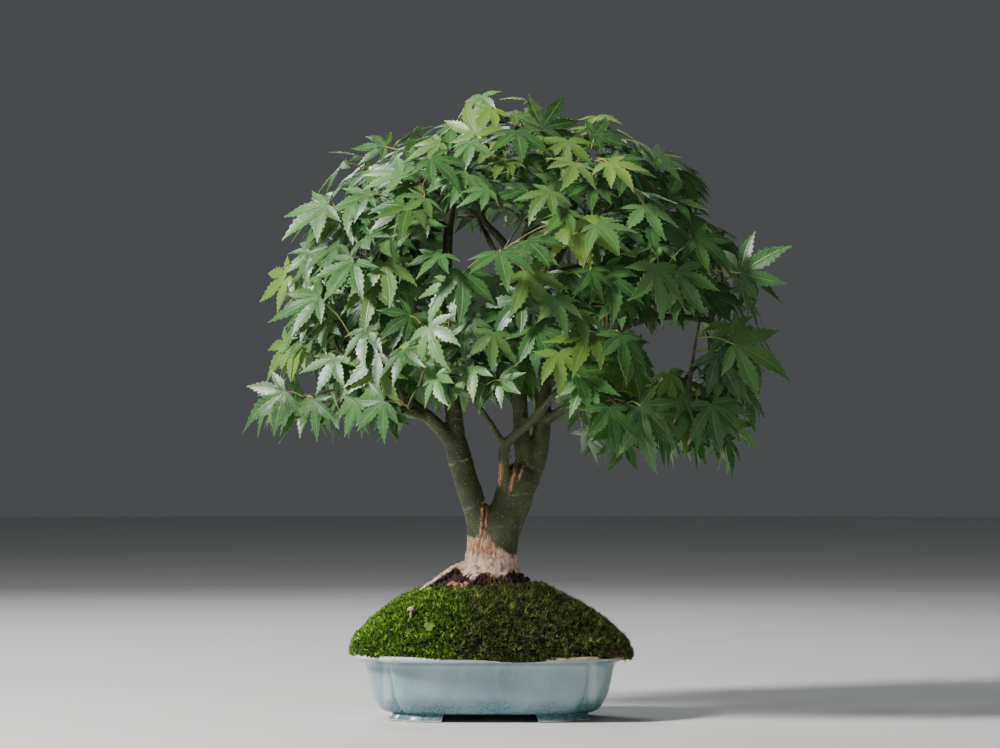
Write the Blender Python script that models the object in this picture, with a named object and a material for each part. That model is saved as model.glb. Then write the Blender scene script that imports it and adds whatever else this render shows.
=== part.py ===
"""Japanese maple bonsai with two trunks, in a shallow four-lobed glazed pot with a mossy mound.

Metres, +Z up, front towards -Y. The origin is on the table, below the middle of the whole object's box.
Lengths in the tables below are in millimetres from the middle of the pot's footprint, and to_frame turns
them into metres.
"""

import math
import random

import bmesh
import bpy
from mathutils import Vector
from mathutils.bvhtree import BVHTree

MM = 0.001
# Gap between neighbouring bodies, in millimetres.
SMALL_GAP = 0.3
# The pot's middle, seen from the middle of the whole object's box.
POT_X = -0.0174
POT_Y = 0.007

# Pot: half widths of its plan at each height, outside and inside, in millimetres (height, half width).
POT_OUTSIDE = (
    (5.5, 73.0), (8.0, 77.0), (16.5, 82.0), (26.0, 84.5), (37.0, 87.0),
    (40.0, 89.5), (42.0, 94.5), (44.0, 96.5), (45.6, 95.0),
)
POT_INSIDE = ((46.0, 91.5), (44.6, 88.0), (38.0, 81.0), (26.0, 78.5), (14.0, 74.0), (12.0, 70.0))
# How much less the pot's half depth is than its half width, at every height.
POT_DEPTH_LESS = 25.0
# Where the creases between the lobes lie, as shares of the half width and half depth.
LOBE_SHARE_X = 0.79
LOBE_SHARE_Y = 0.70
FRONT_LOBE_STEPS = 10
SIDE_LOBE_STEPS = 7
FRONT_LOBE_POWER = 3.2
SIDE_LOBE_POWER = 2.5
# Feet: height, where each starts and ends along the long side, how far its ends slant, and its depth.
FOOT_HEIGHT = 5.8
FOOT_SPAN = (33.0, 73.0)
FOOT_SLANT = 3.0
FOOT_DEPTH = 9.0
FOOT_OUT = 1.5
DRAIN_X = 34.0
DRAIN_RADIUS = 7.0
MESH_HALF = 11.0
MESH_THICKNESS = 1.2
# Recess in the underside of the soil round each drainage mesh.
RECESS_GAP = 0.4
RECESS_DEPTH = MESH_THICKNESS + 0.7
POT_FLOOR = 12.0

# Mound of soil, and the moss on it.
RIM_TOP = 46.0
MOSS_HALF_X = 98.0
MOSS_HALF_Y = 74.0
MOSS_RISE = 47.0
MOSS_GAP = 0.9
SOIL_SHARE = 0.83
SOIL_RISE = 41.0
SOIL_INSET = 0.9
SOIL_RIM = 44.4
SOIL_RING_SHARES = (0.81, 0.76, 0.68, 0.58, 0.45, 0.28)
MOUND_SQUARENESS = 2.5
# Where the two cushions meet, and half of the slit between them in radians round the trunk.
MOSS_SPLIT_X = -20.0
MOSS_SLIT = 0.008
MOSS_STEPS = 14
MOSS_RING_STEPS = (0.0, 0.25, 0.5, 0.72, 0.9, 1.0)
# Oval of bare soil round the trunk: middle x and y, half width and half depth.
MOSS_HOLE = (-7.0, 0.0, 33.0, 23.0)

# Root flare: height, middle x, half width x and half width y of each section.
FLARE_SECTIONS = (
    (82.0, -5.0, 30.0, 18.5), (90.0, -3.5, 25.5, 17.0), (97.0, -1.0, 21.5, 15.5),
    (104.0, 0.0, 19.3, 14.4), (112.0, 1.0, 17.8, 13.4), (122.0, 1.6, 16.8, 12.4), (131.0, 1.8, 15.5, 11.0),
)
FLARE_STEPS = 18
FLARE_RIBS = 5
FLARE_RIB_DEPTH = 0.09
FLARE_GAP = 0.4

# Woody routes: name, radius at the start and at the end, and points (x, y, z).
BRANCHES = (
    ("left_trunk", 9.0, 8.4,
     ((-6, 0, 106), (-7, 0, 131), (-9, 0, 141), (-12, 1, 151), (-20, 3, 176), (-24, 4, 192))),
    ("right_trunk", 14.0, 11.6,
     ((4, 0, 104), (8, 0, 131), (13.5, 1, 150), (19, 2, 167))),
    ("leader", 6.8, 2.6,
     ((-23, 4, 186), (-27, 6, 222), (-34, 6, 240), (-37, 8, 270), (-31, 8, 310), (-29, 8, 344),
      (-23, 10, 378))),
    ("left_branch", 5.4, 2.0,
     ((-22, 3, 186), (-38, 0, 205), (-56, -5, 220), (-80, -10, 240), (-105, -12, 264), (-122, -12, 290))),
    ("left_back_branch", 4.2, 1.9,
     ((-27, 7, 220), (-46, 28, 243), (-70, 56, 262), (-88, 80, 280))),
    ("low_left_branch", 3.4, 1.8,
     ((-44, -1, 210), (-66, -22, 216), (-92, -38, 221), (-118, -46, 220))),
    ("front_stem", 4.0, 2.4,
     ((11, -5, 160), (10, -9, 174), (11, -11, 190), (30, -16, 208), (44, -30, 224), (58, -50, 238))),
    ("front_twig", 2.6, 1.8,
     ((11, -11, 187), (1, -14, 204), (-10, -20, 220), (-18, -38, 236), (-30, -60, 250))),
    ("middle_stem", 7.0, 3.4,
     ((18, 2, 158), (24, 4, 175), (22, 6, 196), (20, 8, 240), (17, 6, 298), (20, 4, 322))),
    ("middle_left_arm", 3.2, 1.8,
     ((19, 4, 316), (8, 3, 334), (-4, 0, 347), (-12, -10, 366), (-20, -18, 386))),
    ("middle_right_arm", 3.2, 1.8,
     ((20, 4, 318), (25, 5, 338), (30, 6, 352), (36, 2, 374), (40, -4, 396))),
    ("right_stem", 7.2, 2.4,
     ((24, 5, 157), (32, 8, 176), (36, 10, 198), (38, 13, 240), (35, 13, 290), (49, 14, 326), (70, 16, 352),
      (92, 18, 370))),
    ("right_branch", 4.6, 2.0,
     ((38, 13, 232), (60, 9, 252), (84, 3, 268), (104, 0, 277), (130, -5, 280), (154, -8, 277))),
    ("right_back_branch", 4.2, 1.9,
     ((38, 14, 240), (52, 42, 262), (66, 72, 284), (80, 96, 300))),
    ("low_right_branch", 3.6, 1.8,
     ((37, 11, 206), (58, -4, 218), (84, -18, 224), (112, -30, 224), (136, -38, 220))),
    ("low_back_branch", 3.8, 1.8,
     ((22, 8, 212), (14, 36, 226), (2, 64, 238), (-8, 92, 246))),
    ("upper_back_branch", 3.0, 1.7,
     ((17, 7, 296), (8, 32, 318), (-2, 56, 340), (-8, 78, 356))),
)
BRANCH_SPACING = 16.0
TRUNK_SIDES = 3
BRANCH_SIDES = 1

# Crown: height, and how far the outermost leaves reach to the left and to the right.
CROWN = (
    (190, -150, 176), (215, -184, 204), (245, -166, 212), (282, -158, 200), (325, -156, 196),
    (352, -150, 172), (382, -120, 158), (402, -78, 130), (420, -42, 76), (436, -14, 42),
)
CROWN_DEPTH = 0.84
CROWN_AXIS_X = 14
CROWN_HALF_X = 190
CROWN_HALF_Y = 155
CROWN_BOTTOM = 215
CROWN_RISE = 205
TO_THE_LIGHT = Vector((-0.12, -0.55, 0))
# Tiers of shoots: height of their tips, how many, azimuth of the first, and the leaves' reach past them.
TIERS = (
    (216, 9, 12, 34), (248, 5, 40, 80), (266, 10, 4, 34), (312, 9, 26, 34), (350, 7, 8, 32),
    (382, 7, 40, 30), (405, 3, 150, 26),
)
TIER_WOBBLE = 7.0
TWIG_RADIUS = 1.7
TWIG_TIP_RADIUS = 0.9
TWIG_STEPS = 4
TWIG_LIFT = 0.10
PAIRS = (0.62, 0.86)
STALK_LENGTH = (13.0, 20.0)
STALK_WIDTH = 1.1
# Half of the length of twig that a stalk grows out of.
BUD_HALF = 1.2
LEAF_LENGTH = (29.0, 37.0)
LEAF_THICKNESS = 0.6
LEAF_CLEARANCE = 0.35
LEAF_TRIES = 14
FEWEST_LEAVES = 2
SEED = 20
# Where a twig may grow from: the thickest branch, the lowest height, and the gaps tried from the bark.
THICKEST_ANCHOR = 7.3
LOWEST_ANCHOR = 200.0
ANCHOR_GAPS = (0.6, 1.2, 2.0, 3.2)
SHORTEST_TWIG = 24.0
# The start of a stalk that is left out of its clearance test, and the reach of a leaf for that test.
STALK_START = 4.2
LEAF_NEIGHBOURHOOD = 80.0

# A leaf's lobe tips and the notches between them: angle from the middle lobe, share of its length, and
# how far it droops, again as a share of that length.
LOBE_TIPS = ((-92, 0.62, 0.12), (-43, 0.90, 0.15), (0, 1.0, 0.16), (43, 0.90, 0.15), (92, 0.62, 0.12))
NOTCHES = ((-66, 0.30), (-21, 0.34), (21, 0.34), (66, 0.30))

# Big leaves on the crown's front, by hand: x, z, heading of the middle lobe, its length, how far the
# leaf's face is tipped up from facing the front, and turned to the right.
FRONT_LEAVES = (
    (-101, 334, 58, 41, 30, -8), (-82, 317, 5, 33, 45, 10), (-116, 290, 200, 37, 40, -25),
    (-97, 267, 217, 46, 35, -15), (-64, 272, -68, 31, 40, 0), (-36, 272, -78, 33, 30, 8),
    (0, 240, 236, 33, 25, 0), (53, 397, -97, 28, 35, 0), (59, 340, -84, 40, 22, 6),
    (115, 367, -105, 29, 30, 15), (80, 303, -78, 32, 35, 10), (92, 253, -44, 27, 25, 10),
    (106, 232, -38, 34, 30, 12), (58, 238, -28, 32, 30, 0), (171, 307, 36, 38, 5, -20),
    (160, 222, -24, 40, 30, 20), (-10, 402, 105, 33, 20, -8), (15, 405, 88, 30, 15, 0),
    (36, 407, 62, 32, 20, 8), (166, 258, -20, 44, 20, 15), (150, 207, -76, 38, 5, 15),
    (104, 208, -82, 34, 8, 5), (-146, 216, 204, 42, 35, -20), (-136, 254, 198, 38, 35, -25),
    (-18, 305, -86, 34, 30, 0), (14, 352, -92, 30, 40, 0), (-60, 372, 160, 32, 50, -10),
    (-32, 350, 222, 31, 40, 0), (-112, 236, 250, 34, 35, -10), (30, 268, -60, 33, 35, 0),
    (140, 330, -35, 33, 30, 18), (88, 378, 20, 30, 45, 10), (14, 377, -92, 30, 40, 0),
    (-14, 373, -102, 27, 40, -5), (38, 367, -78, 29, 35, 5), (-40, 386, -115, 29, 40, -8),
    (68, 372, -75, 31, 35, 8), (-58, 352, 215, 30, 40, -10), (24, 394, -60, 26, 45, 5),
    (-72, 396, 175, 28, 40, -12), (72, 402, 10, 28, 40, 10), (44, 318, -95, 33, 30, 5),
    (70, 274, -98, 30, 30, 5), (-78, 296, -100, 32, 38, -8), (120, 396, -10, 28, 40, 15),
)
FRONT_DEPTH_SHARE = 0.80
# Where on its twig such a leaf may grow, as shares of the twig, and how far away that may be.
FRONT_LEAF_STEPS = (0.45, 0.62, 0.74, 0.86)
LONGEST_FRONT_STALK = 75.0
# Sight lines left open through the crown: lowest x, highest x, lowest z and highest z.
GAPS = ((-24, 14, 317, 343), (107, 145, 243, 269), (-132, -112, 225, 234))
# Space left free between the two stems: lowest and highest x, y and z.
CLEARING = (-28, 11, -32, 32, 258, 299)
UNDERSIDE = ((-190, 196), (-60, 192), (-45, 212), (50, 212), (62, 171), (215, 168))

MUSHROOM_AT = (-54.0, -52.0)
MUSHROOM_PROFILE = ((0.0, 0.9), (3.2, 0.8), (3.4, 2.2), (4.2, 2.6), (5.2, 2.0), (5.8, 0.9))
MUSHROOM_SIDES = 10
CLOVER_AT = (-41.0, -67.0)
CLOVER_HEIGHT = 8.0
CLOVER_STALK = 0.4
LEAFLET_THICKNESS = 0.7
# Height of both small plants' feet over the faceted moss.
SEAT_GAP = 1.2

COLOURS = {
    "pot": ((0.33, 0.43, 0.46), 0.18),
    "soil": ((0.045, 0.028, 0.018), 0.95),
    "moss_left": ((0.10, 0.24, 0.02), 0.9),
    "moss_right": ((0.05, 0.10, 0.015), 0.9),
    "trunk": ((0.12, 0.14, 0.055), 0.6),
    "leaf": ((0.07, 0.20, 0.06), 0.45),
    "mushroom": ((0.55, 0.43, 0.28), 0.6),
    "clover_sprig": ((0.16, 0.32, 0.06), 0.5),
    "drainage_mesh": ((0.02, 0.02, 0.02), 0.5),
}


def to_frame(x, y, z):
    """A point given in millimetres from the pot's middle, in metres in the object's frame."""
    return Vector((POT_X + x * MM, POT_Y + y * MM, z * MM))


def clear_scene():
    for obj in list(bpy.data.objects):
        bpy.data.objects.remove(obj, do_unlink=True)


def new_collection(name):
    collection = bpy.data.collections.new(name)
    bpy.context.scene.collection.children.link(collection)
    return collection


def material(name, key):
    colour, roughness = COLOURS[key]
    mat = bpy.data.materials.get(name) or bpy.data.materials.new(name)
    mat.use_nodes = True
    shader = mat.node_tree.nodes["Principled BSDF"]
    shader.inputs["Base Color"].default_value = (*colour, 1.0)
    shader.inputs["Roughness"].default_value = roughness
    shader.inputs["Metallic"].default_value = 0.0
    mat.diffuse_color = (*colour, 1.0)
    return mat


def finish_mesh(bm, name, key, collection, smooth_angle=None):
    """Writes a bmesh to a new object of the collection, with its faces out."""
    bmesh.ops.recalc_face_normals(bm, faces=bm.faces)
    mesh = bpy.data.meshes.new(name)
    bm.to_mesh(mesh)
    bm.free()
    obj = bpy.data.objects.new(name, mesh)
    collection.objects.link(obj)
    if smooth_angle is not None:
        mesh.shade_smooth()
        mesh.set_sharp_from_angle(angle=math.radians(smooth_angle))
    if key:
        mesh.materials.append(material(name, key))
    return obj


def loft(rings, bm=None):
    """A closed body through rings of the same number of points, with a flat cap at each end."""
    bm = bm or bmesh.new()
    rows = [[bm.verts.new(point) for point in ring] for ring in rings]
    count = len(rows[0])
    for low, high in zip(rows, rows[1:]):
        for i in range(count):
            j = (i + 1) % count
            bm.faces.new((low[i], low[j], high[j]))
            bm.faces.new((low[i], high[j], high[i]))
    bm.faces.new(rows[0][::-1])
    bm.faces.new(rows[-1])
    return bm


def boolean(target, cutter, operation):
    """Applies one Boolean and removes the cutter; the manifold solver steps in if the exact one fails."""
    for solver in ("EXACT", "MANIFOLD"):
        modifier = target.modifiers.new(operation.lower(), "BOOLEAN")
        modifier.operation = operation
        modifier.solver = solver
        modifier.object = cutter
        bpy.context.view_layer.update()
        graph = bpy.context.evaluated_depsgraph_get()
        joined = bpy.data.meshes.new_from_object(target.evaluated_get(graph))
        target.modifiers.clear()
        if joined.polygons:
            break
    old = target.data
    for mat in old.materials:
        if mat and mat.name not in joined.materials:
            joined.materials.append(mat)
    target.data = joined
    bpy.data.meshes.remove(old)
    bpy.data.objects.remove(cutter, do_unlink=True)


def smooth_route(points, spacing):
    """Points about that far apart along a smooth curve through the given ones."""
    points = [Vector(p) for p in points]
    ends = [points[0] * 2 - points[1]] + points + [points[-1] * 2 - points[-2]]
    route = []
    for a, b, c, d in zip(ends, ends[1:], ends[2:], ends[3:]):
        steps = max(1, round((c - b).length / spacing))
        for i in range(steps):
            t = i / steps
            route.append(
                0.5 * (2 * b + (c - a) * t + (2 * a - 5 * b + 4 * c - d) * t * t
                       + (3 * b - a - 3 * c + d) * t ** 3)
            )
    route.append(points[-1])
    return route


def radii_along(count, start, end):
    return [start + (end - start) * i / (count - 1) for i in range(count)]


# ---------------------------------------------------------------- pot


def lobed_plan(half_x, half_y, front_steps=FRONT_LOBE_STEPS, side_steps=SIDE_LOBE_STEPS):
    """The four-lobed plan as (x, y) in millimetres: rounded lobes that meet in a crease at each corner."""
    crease_x = half_x * LOBE_SHARE_X
    crease_y = half_y * LOBE_SHARE_Y
    plan = []
    for quarter in range(4):
        along_x = quarter % 2 == 0
        steps = front_steps if along_x else side_steps
        power = FRONT_LOBE_POWER if along_x else SIDE_LOBE_POWER
        span = crease_x if along_x else crease_y
        base = crease_y if along_x else crease_x
        rise = (half_y - crease_y) if along_x else (half_x - crease_x)
        for i in range(steps):
            angle = math.pi * i / steps
            along = -math.copysign(abs(math.cos(angle)) ** (2 / power), math.cos(angle)) * span
            out = base + rise * math.sin(angle) ** (2 / power)
            turn = quarter * math.pi / 2
            x, y = along, -out
            c, s = math.cos(turn), math.sin(turn)
            plan.append((x * c - y * s, x * s + y * c))
    return plan


def pot_ring(height, half_x, outward=0.0):
    plan = lobed_plan(half_x + outward, half_x + outward - POT_DEPTH_LESS)
    return [to_frame(x, y, height) for x, y in plan]


def half_width_at(profile, height):
    """The pot's half width at a height, between the points of its profile."""
    points = sorted(profile)
    for (z0, a), (z1, b) in zip(points, points[1:]):
        if z0 <= height <= z1:
            return a + (b - a) * (height - z0) / (z1 - z0)
    return points[0][1] if height < points[0][0] else points[-1][1]


def foot(side_x, side_y):
    """One foot under a long lobe: a low block that follows the pot's edge, with slanted ends."""
    half_x = POT_OUTSIDE[0][1]
    half_y = half_x - POT_DEPTH_LESS
    edge = half_y + FOOT_OUT
    rings = []
    for height, spread in ((0.0, 0.0), (FOOT_HEIGHT, FOOT_SLANT)):
        near, far = FOOT_SPAN[0] - spread, FOOT_SPAN[1] + spread * 0.4
        back = edge - FOOT_DEPTH
        outer = ((near, edge - 1.0), (far - 14.0, edge - 1.0), (far - 4.0, edge - 6.0), (far, edge - 15.0))
        inner = ((far - 9.0, edge - 19.0), (far - 15.0, back - 2.0), (near, back - 2.0))
        rings.append([to_frame(side_x * x, side_y * y, height) for x, y in outer + inner])
    return loft(rings)


def make_pot(collection):
    rings = [pot_ring(z, half) for z, half in POT_OUTSIDE]
    rings += [pot_ring(z, half) for z, half in POT_INSIDE]
    pot = finish_mesh(loft(rings), "pot", "pot", collection)
    for side_x in (-1, 1):
        for side_y in (-1, 1):
            boolean(pot, finish_mesh(foot(side_x, side_y), "foot", None, collection), "UNION")
    for side in (-1, 1):
        hole = bmesh.new()
        bmesh.ops.create_cone(
            hole, cap_ends=True, segments=16, radius1=DRAIN_RADIUS * MM, radius2=DRAIN_RADIUS * MM,
            depth=POT_FLOOR * 3 * MM,
        )
        bmesh.ops.translate(hole, verts=hole.verts, vec=to_frame(side * DRAIN_X, 0, POT_FLOOR))
        boolean(pot, finish_mesh(hole, "drain_hole", None, collection), "DIFFERENCE")
    pot.data.shade_smooth()
    pot.data.set_sharp_from_angle(angle=math.radians(35))
    return pot


def make_drainage_meshes(collection):
    low = POT_FLOOR + SMALL_GAP
    for name, side in (("drainage_mesh_left", -1), ("drainage_mesh_right", 1)):
        screen = bmesh.new()
        bmesh.ops.create_cube(screen, size=1.0)
        size = Vector((2 * MESH_HALF, 2 * MESH_HALF, MESH_THICKNESS)) * MM
        bmesh.ops.scale(screen, verts=screen.verts, vec=size)
        middle = to_frame(side * DRAIN_X, 0, low + MESH_THICKNESS / 2)
        bmesh.ops.translate(screen, verts=screen.verts, vec=middle)
        finish_mesh(screen, name, "drainage_mesh", collection)


# ---------------------------------------------------------------- mound


def mound_edge(angle, half_x, half_y):
    """Distance from the middle to the mound's rounded-rectangle edge at an angle."""
    c, s = abs(math.cos(angle)) / half_x, abs(math.sin(angle)) / half_y
    return (c ** MOUND_SQUARENESS + s ** MOUND_SQUARENESS) ** (-1 / MOUND_SQUARENESS)


def mound_rise(share):
    """How high the mound stands at a share of the way out, from 1 in the middle to 0 at its edge."""
    return (1 - min(share, 1.0) ** 3) ** 0.7


def soil_top(share):
    return RIM_TOP - 1.5 + SOIL_RISE * mound_rise(share / SOIL_SHARE)


def moss_top(share):
    return RIM_TOP + 1.2 + MOSS_RISE * mound_rise(share)


def mound_point(angle, share, height, grow=0.0):
    reach = mound_edge(angle, MOSS_HALF_X, MOSS_HALF_Y) * share + grow
    return to_frame(reach * math.cos(angle), reach * math.sin(angle), height)


def root_flare(grow=0.0):
    """The flared foot of both trunks, with soft ribs that run out into the surface roots."""
    rings = []
    for z, middle, half_x, half_y in FLARE_SECTIONS:
        ring = []
        for i in range(FLARE_STEPS):
            angle = 2 * math.pi * i / FLARE_STEPS
            rib = 1 + FLARE_RIB_DEPTH * math.cos(FLARE_RIBS * angle + 0.6) * (124 - z) / 40
            x = middle + (half_x * rib + grow) * math.cos(angle)
            y = (half_y * rib + grow) * math.sin(angle)
            ring.append(to_frame(x, y, z - grow if z == FLARE_SECTIONS[0][0] else z))
        rings.append(ring)
    return loft(rings)


def soil_rings(heights, grow=0.0):
    """The soil's rings, in the pot at the given heights and then up the mound, grown by so much."""
    rings = []
    for z in heights:
        half = half_width_at(POT_INSIDE, z) - SOIL_INSET + grow
        rings.append([to_frame(x, y, z) for x, y in lobed_plan(half, half - POT_DEPTH_LESS)])
    angles = [math.atan2(y, x) for x, y in lobed_plan(80.0, 55.0)]
    for share in SOIL_RING_SHARES:
        rings.append([mound_point(angle, share, soil_top(share) + grow, grow) for angle in angles])
    return rings


def make_soil(collection):
    """Root ball: fills the pot to 0.3 mm from its wall, and rises to the trunk as a mound."""
    heights = (POT_FLOOR + SMALL_GAP, 14.0, 26.0, 38.0, SOIL_RIM)
    soil = finish_mesh(loft(soil_rings(heights)), "soil", "soil", collection)
    flare = finish_mesh(root_flare(grow=FLARE_GAP), "flare_cutter", None, collection)
    boolean(soil, flare, "DIFFERENCE")
    for side in (-1, 1):
        recess = bmesh.new()
        bmesh.ops.create_cube(recess, size=1.0)
        half = MESH_HALF + RECESS_GAP
        size = Vector((2 * half, 2 * half, 2 * RECESS_DEPTH)) * MM
        bmesh.ops.scale(recess, verts=recess.verts, vec=size)
        bmesh.ops.translate(recess, verts=recess.verts, vec=to_frame(side * DRAIN_X, 0, POT_FLOOR))
        boolean(soil, finish_mesh(recess, "recess", None, collection), "DIFFERENCE")
    soil.data.shade_smooth()
    soil.data.set_sharp_from_angle(angle=math.radians(40))
    return soil


def hole_share(angle):
    """Where the moss ends round the trunk, as a share of the way out."""
    x, y, half_x, half_y = MOSS_HOLE
    reach = 1 / math.hypot(math.cos(angle) / half_x, math.sin(angle) / half_y)
    reach += x * math.cos(angle)
    return reach / mound_edge(angle, MOSS_HALF_X, MOSS_HALF_Y)


def make_moss(name, start, end, collection):
    """A cushion of moss on the rim and over part of the mound, between two angles round the trunk."""
    bm = bmesh.new()
    low = RIM_TOP + MOSS_GAP
    grid = []
    for i in range(MOSS_STEPS + 1):
        angle = start + (end - start) * i / MOSS_STEPS
        first = hole_share(angle)
        row = []
        for step in MOSS_RING_STEPS:
            share = first + (0.995 - first) * step
            row.append((bm.verts.new(mound_point(angle, share, low)),
                        bm.verts.new(mound_point(angle, share, moss_top(share)))))
        grid.append(row)
    for near, far in zip(grid, grid[1:]):
        for (a, b), (c, d), (e, f), (g, h) in zip(near, near[1:], far, far[1:]):
            bm.faces.new((b, f, h, d))
            bm.faces.new((a, c, g, e))
        for k in (0, -1):
            bm.faces.new((near[k][0], far[k][0], far[k][1], near[k][1]))
    for row in (grid[0], grid[-1]):
        for (a, b), (c, d) in zip(row, row[1:]):
            bm.faces.new((a, b, d, c))
    moss = finish_mesh(bm, name, name, collection)
    rings = soil_rings((SOIL_RIM - 10, SOIL_RIM), grow=MOSS_GAP)
    boolean(moss, finish_mesh(loft(rings), "mound_cutter", None, collection), "DIFFERENCE")
    moss.data.shade_smooth()
    moss.data.set_sharp_from_angle(angle=math.radians(40))
    return moss


def both_mosses(collection):
    """The two cushions meet with a small gap along a line in front of the trunk and one behind it."""
    front = math.atan2(-MOSS_HALF_Y, MOSS_SPLIT_X)
    back = math.atan2(MOSS_HALF_Y, MOSS_SPLIT_X)
    make_moss("moss_left", back + MOSS_SLIT, front + 2 * math.pi - MOSS_SLIT, collection)
    make_moss("moss_right", front + MOSS_SLIT, back - MOSS_SLIT, collection)


def on_moss(x, y):
    """The moss's height at a point of the mound."""
    angle = math.atan2(y, x)
    share = math.hypot(x, y) / mound_edge(angle, MOSS_HALF_X, MOSS_HALF_Y)
    return moss_top(share)


def make_mushroom(collection):
    x, y = MUSHROOM_AT
    base = on_moss(x, y) + SEAT_GAP
    rings = []
    for height, radius in MUSHROOM_PROFILE:
        ring = []
        for i in range(MUSHROOM_SIDES):
            angle = 2 * math.pi * i / MUSHROOM_SIDES
            ring.append(to_frame(x + radius * math.cos(angle), y + radius * math.sin(angle), base + height))
        rings.append(ring)
    return finish_mesh(loft(rings), "mushroom", "mushroom", collection, smooth_angle=50)


def leaflet_ring(turn, height):
    """The oval outline of one leaflet; each lies a hair above the last, so that no two are level."""
    x, y = CLOVER_AT
    angle = math.radians(turn)
    ring = []
    for i in range(8):
        around = 2 * math.pi * i / 8
        along = 2.2 + 2.5 * math.cos(around)
        across = 2.0 * math.sin(around)
        ring.append(to_frame(
            x + along * math.cos(angle) - across * math.sin(angle),
            y + along * math.sin(angle) + across * math.cos(angle),
            height + turn * 0.0004,
        ))
    return ring


def make_clover(collection):
    """A stalk with three small leaflets, standing in the moss."""
    x, y = CLOVER_AT
    base = on_moss(x, y) + SEAT_GAP
    tip = base + CLOVER_HEIGHT
    corners = [(x + a * CLOVER_STALK, y + b * CLOVER_STALK) for a, b in ((1, 1), (-1, 1), (-1, -1), (1, -1))]
    stalk = [[to_frame(*corner, z) for corner in corners] for z in (base, tip)]
    sprig = finish_mesh(loft(stalk), "clover_sprig", "clover_sprig", collection)
    for turn in (90, 210, 330):
        leaflet = [leaflet_ring(turn, tip - LEAFLET_THICKNESS), leaflet_ring(turn, tip)]
        boolean(sprig, finish_mesh(loft(leaflet), "leaflet", None, collection), "UNION")
    return sprig


# ---------------------------------------------------------------- trunk


def tube(name, route, radii, sides, collection):
    """A mesh tube along a route, given in millimetres, with a radius at each point."""
    curve = bpy.data.curves.new(name, "CURVE")
    curve.dimensions = "3D"
    curve.bevel_depth = MM
    curve.bevel_resolution = sides
    curve.use_fill_caps = True
    spline = curve.splines.new("POLY")
    spline.points.add(len(route) - 1)
    for point, spot, radius in zip(spline.points, route, radii):
        point.co = (*to_frame(*spot), 1.0)
        point.radius = radius
    guide = bpy.data.objects.new(name, curve)
    collection.objects.link(guide)
    bpy.context.view_layer.update()
    graph = bpy.context.evaluated_depsgraph_get()
    bm = bmesh.new()
    bm.from_mesh(bpy.data.meshes.new_from_object(guide.evaluated_get(graph)))
    bmesh.ops.remove_doubles(bm, verts=bm.verts, dist=1e-6)
    bpy.data.objects.remove(guide, do_unlink=True)
    return finish_mesh(bm, name, None, collection)


def branch_routes():
    """Each branch as its smooth route and the radius at each point, in millimetres."""
    routes = []
    for name, start, end, points in BRANCHES:
        route = smooth_route(points, BRANCH_SPACING)
        routes.append((name, route, radii_along(len(route), start, end)))
    return routes


def make_trunk(routes, collection):
    trunk = finish_mesh(root_flare(), "trunk", "trunk", collection)
    for name, route, radii in routes:
        sides = TRUNK_SIDES if "trunk" in name else BRANCH_SIDES
        boolean(trunk, tube(name, route, radii, sides, collection), "UNION")
    trunk.data.shade_smooth()
    trunk.data.set_sharp_from_angle(angle=math.radians(50))
    return trunk


# ---------------------------------------------------------------- foliage layout


def crown_reach(z):
    """(left, right) reach of the leaves at a height."""
    for (z0, l0, r0), (z1, l1, r1) in zip(CROWN, CROWN[1:]):
        if z <= z1:
            t = max(0.0, (z - z0) / (z1 - z0))
            return l0 + (l1 - l0) * t, r0 + (r1 - r0) * t
    return CROWN[-1][1:]


def crown_depth(x, z):
    """Half of the crown's depth at a place of its front view."""
    left, right = crown_reach(z)
    half = (right - left) / 2
    off = min(1.0, abs(x - (left + right) / 2) / half)
    return CROWN_DEPTH * half * math.sqrt(1 - off * off)


def shoot_tips():
    """The tips of the leafy shoots, on tiers round the crown."""
    draws = random.Random(SEED)
    tips = []
    for z, count, first, past in TIERS:
        left, right = crown_reach(z)
        for i in range(count):
            azimuth = math.radians(first + 360 * i / count + draws.uniform(-TIER_WOBBLE, TIER_WOBBLE))
            height = z + draws.uniform(-TIER_WOBBLE, TIER_WOBBLE)
            half = (right - left) / 2 - past
            x = (left + right) / 2 + half * math.cos(azimuth)
            y = half * CROWN_DEPTH * math.sin(azimuth)
            tips.append(Vector((x, y, height)))
    return tips


def twig_route(start, tip):
    """A twig that leaves its branch, arches up a little and levels out at its tip."""
    span = tip - start
    lift = Vector((0, 0, span.length * TWIG_LIFT))
    middle = start + span * 0.5 + lift
    return [
        start * (1 - t) ** 2 + middle * (2 * t * (1 - t)) + tip * t * t
        for t in (i / TWIG_STEPS for i in range(TWIG_STEPS + 1))
    ]


def bar(start, end, half, up=Vector((0, 0, 1))):
    """The eight corners and six faces of a thin bar."""
    along = (end - start).normalized()
    side = along.cross(up)
    side = side.normalized() if side.length > 1e-4 else Vector((1, 0, 0))
    top = side.cross(along).normalized()
    corners = []
    for end_point in (start, end):
        for a, b in ((1, 1), (1, -1), (-1, -1), (-1, 1)):
            corners.append(end_point + side * (a * half) + top * (b * half))
    faces = [(0, 1, 2, 3), (7, 6, 5, 4)]
    faces += [(i, i + 4, (i + 1) % 4 + 4, (i + 1) % 4) for i in range(4)]
    return corners, faces


def shape_of(parts):
    """One search tree over several small shapes, given as (corners, faces)."""
    corners = []
    faces = []
    for points, polygons in parts:
        base = len(corners)
        corners += points
        faces += [tuple(base + i for i in polygon) for polygon in polygons]
    return BVHTree.FromPolygons(corners, faces)


def route_shape(route, radii):
    return shape_of(
        bar(a, b, max(r, s)) for a, b, r, s in zip(route, route[1:], radii, radii[1:])
    )


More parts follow.
